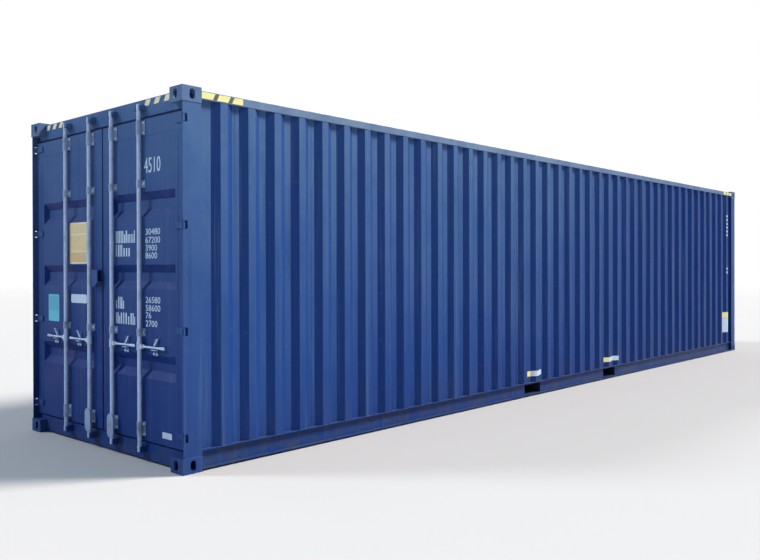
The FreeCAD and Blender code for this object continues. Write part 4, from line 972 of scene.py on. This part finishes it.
class CONTAINER_OT_floor_fittings(bpy.types.Operator):
    """Screw the floor down and hang the lashing rings inside"""
    bl_idname = "container.floor_fittings"
    bl_label = "Floor screws and lashing rings"

    def execute(self, context):
        work = bmesh.new()
        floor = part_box("floor_boards")[1][2]
        for row in range(-18, 19):
            for column in range(-7, 8):
                dome(work, (row * 0.3, column * 0.15, floor - 0.0002), 0.006, 0.0012, (0, 0, 1), 8)
        material = kept_material("Bolt zinc", zinc_material, 0.7)
        finish_piece("Floor screws", work, material, ROOT, 40)
        work = bmesh.new()
        for sign in (-1, 1):
            for row in range(-5, 6):
                centre = Vector((row * 1.0, sign * 1.150, 0.215))
                made = bmesh.new()
                circle = [made.verts.new(point) for point in ring_points(
                    centre + Vector((0.025, 0, 0)), (0.004, 0, 0), (0, 0.004, 0), 10)]
                edges = [made.edges.new((circle[i], circle[(i + 1) % 10])) for i in range(10)]
                bmesh.ops.spin(made, geom=edges, cent=centre, axis=(0, 1, 0), angle=math.tau, steps=28,
                               use_merge=True)
                merge_into(work, made)
                loft(work, [ring_points(centre + Vector((x, 0, 0.025)), (0, 0.008, 0), (0, 0, 0.008), 10)
                            for x in (-0.02, 0.02)])
        finish_piece("Lashing rings", work, material, ROOT, 50)
        return {"FINISHED"}


# ---- stage -----------------------------------------------------------------
def set_out(name, work, material):
    """Put a bmesh on the stage under one material."""
    mesh = bpy.data.meshes.new(name)
    work.to_mesh(mesh)
    work.free()
    mesh.materials.append(material)
    item = bpy.data.objects.new(name, mesh)
    bpy.context.scene.collection.objects.link(item)
    return item


def lay_floor():
    """A wide, pale, matt floor a millimetre below the container."""
    material = bpy.data.materials.new("Stage floor")
    material.use_nodes = True
    tree = material.node_tree
    shader = tree.nodes["Principled BSDF"]
    shader.inputs["Roughness"].default_value = 0.9
    shader.inputs["Specular IOR Level"].default_value = 0.1
    place = add_node(tree, "ShaderNodeTexCoord").outputs["Object"]
    tone = blend(tree, noise(tree, place, 0.3, 3.0), (0.465, 0.438, 0.425, 1), (0.443, 0.417, 0.405, 1))
    tree.links.new(tone, shader.inputs["Base Color"])
    work = bmesh.new()
    bmesh.ops.create_grid(work, x_segments=2, y_segments=2, size=STAGE_REACH)
    set_out("Stage floor", work, material).location = (0, 0, -0.001)


def hang_backdrop():
    """A bright curved wall: its front lights the set, its rear is only seen."""
    glow = bpy.data.materials.new("Backdrop glow")
    glow.use_nodes = True
    tree = glow.node_tree
    tree.nodes.remove(tree.nodes["Principled BSDF"])
    lamp = add_node(tree, "ShaderNodeEmission", {"Strength": 1.02})
    place = add_node(tree, "ShaderNodeTexCoord").outputs["Object"]
    tone = blend(tree, noise(tree, place, 0.02), (1.0, 1.0, 1.0, 1), (0.985, 0.99, 1.0, 1))
    tree.links.new(tone, lamp.inputs["Color"])
    tree.links.new(lamp.outputs["Emission"], tree.nodes["Material Output"].inputs["Surface"])
    for title, first, last, lit in (("Backdrop", -20, 111, True), ("Backdrop rear", 110, 341, False)):
        work = bmesh.new()
        arc = [math.radians(angle) for angle in range(first, last, 10)]
        rows = [[work.verts.new((BACKDROP_RADIUS * math.cos(angle), BACKDROP_RADIUS * math.sin(angle), z))
                 for angle in arc] for z in (-0.5, BACKDROP_TOP)]
        for index in range(len(arc) - 1):
            work.faces.new((rows[0][index], rows[0][index + 1], rows[1][index + 1], rows[1][index]))
        backdrop = set_out(title, work, glow)
        backdrop.visible_shadow = False
        backdrop.visible_diffuse = lit
        backdrop.visible_glossy = lit


def fill_world(strength):
    """Soft bluish light from all round, brighter overhead."""
    world = bpy.data.worlds.new("Studio")
    world.use_nodes = True
    tree = world.node_tree
    sky = tree.nodes["Background"]
    split = add_node(tree, "ShaderNodeSeparateXYZ")
    tree.links.new(add_node(tree, "ShaderNodeTexCoord").outputs["Generated"], split.inputs[0])
    up = ramp(tree, split.outputs["Z"], 0.0, 0.9)
    tone = blend(tree, up, (0.46, 0.64, 0.98, 1), (0.80, 1.02, 1.40, 1))
    tree.links.new(tone, sky.inputs["Color"])
    sky.inputs["Strength"].default_value = strength
    bpy.context.scene.world = world


def hang_light(name, power, spread, colour, towards):
    """A soft-edged light shining one way over the whole set."""
    sun = bpy.data.lights.new(name, "SUN")
    sun.energy = power
    sun.angle = math.radians(spread)
    sun.color = colour
    lamp = bpy.data.objects.new(name, sun)
    lamp.rotation_euler = Vector(towards).to_track_quat("-Z", "Y").to_euler()
    bpy.context.scene.collection.objects.link(lamp)


def aim_camera(setup):
    """Stand the camera off the door end and the right side."""
    data = bpy.data.cameras.new("Camera")
    data.lens = setup.lens
    data.sensor_width = 36
    data.shift_x = setup.shift_x
    data.shift_y = setup.shift_y
    data.clip_end = 500
    camera = bpy.data.objects.new("Camera", data)
    yaw, pitch, roll = (math.radians(angle) for angle in CAMERA_TURN)
    ahead = Vector((math.cos(yaw) * math.cos(pitch), math.sin(yaw) * math.cos(pitch), math.sin(pitch)))
    right = Vector((math.sin(yaw), -math.cos(yaw), 0))
    above = right.cross(ahead)
    turned_right = right * math.cos(roll) + above * math.sin(roll)
    turned_up = above * math.cos(roll) - right * math.sin(roll)
    rotation = Matrix((turned_right, turned_up, -ahead)).transposed().to_4x4()
    camera.matrix_world = Matrix.Translation(CAMERA_PLACE) @ rotation
    bpy.context.scene.collection.objects.link(camera)
    bpy.context.scene.camera = camera


class CONTAINER_OT_stage(bpy.types.Operator):
    """Lay the pale floor, hang the backdrop, light the set and aim the camera"""
    bl_idname = "container.stage"
    bl_label = "Stage"

    def execute(self, context):
        setup = context.scene.container_stage
        context.scene.view_settings.view_transform = "Standard"
        lay_floor()
        hang_backdrop()
        fill_world(setup.fill_strength)
        hang_light("High key", setup.key_strength, 16, (1.0, 0.99, 0.93), (-0.60, 0.42, -0.68))
        hang_light("Door light", setup.door_strength, 14, (0.80, 0.94, 1.0), (0.54, -0.57, -0.62))
        aim_camera(setup)
        return {"FINISHED"}


OPERATORS = (CONTAINER_OT_surfaces, CONTAINER_OT_handles, CONTAINER_OT_fixings, CONTAINER_OT_catches,
             CONTAINER_OT_welds, CONTAINER_OT_labels, CONTAINER_OT_figures, CONTAINER_OT_stripes,
             CONTAINER_OT_wall_marks, CONTAINER_OT_floor_fittings, CONTAINER_OT_stage)


class CONTAINER_PT_panel(bpy.types.Panel):
    """Sizes, colours and steps of the freight container"""
    bl_label = "Freight Container"
    bl_idname = "CONTAINER_PT_panel"
    bl_space_type = "VIEW_3D"
    bl_region_type = "UI"
    bl_category = "Container"

    def draw(self, context):
        for group_name in ("container_paint", "container_markings", "container_fittings", "container_stage"):
            group = getattr(context.scene, group_name)
            column = self.layout.column(align=True)
            for name in group.bl_rna.properties.keys():
                if name not in ("rna_type", "name"):
                    column.prop(group, name)
        column = self.layout.column(align=True)
        for kind in OPERATORS:
            column.operator(kind.bl_idname)


SETTINGS = (("container_paint", ContainerPaint), ("container_markings", ContainerMarkings),
            ("container_fittings", ContainerFittings), ("container_stage", ContainerStage))


def register():
    """Register the settings, the operators and the panel."""
    for name, kind in SETTINGS:
        bpy.utils.register_class(kind)
        setattr(bpy.types.Scene, name, bpy.props.PointerProperty(type=kind))
    for kind in OPERATORS + (CONTAINER_PT_panel,):
        bpy.utils.register_class(kind)


def unregister():
    """Undo register in the opposite order."""
    for kind in reversed(OPERATORS + (CONTAINER_PT_panel,)):
        bpy.utils.unregister_class(kind)
    for name, kind in reversed(SETTINGS):
        delattr(bpy.types.Scene, name)
        bpy.utils.unregister_class(kind)


def main():
    """Run every operator in order."""
    register()
    bpy.ops.container.surfaces()
    bpy.ops.container.handles()
    bpy.ops.container.fixings()
    bpy.ops.container.catches()
    bpy.ops.container.welds()
    bpy.ops.container.labels()
    bpy.ops.container.figures()
    bpy.ops.container.stripes()
    bpy.ops.container.wall_marks()
    bpy.ops.container.floor_fittings()
    bpy.ops.container.stage()


if __name__ == "__main__":
    main()
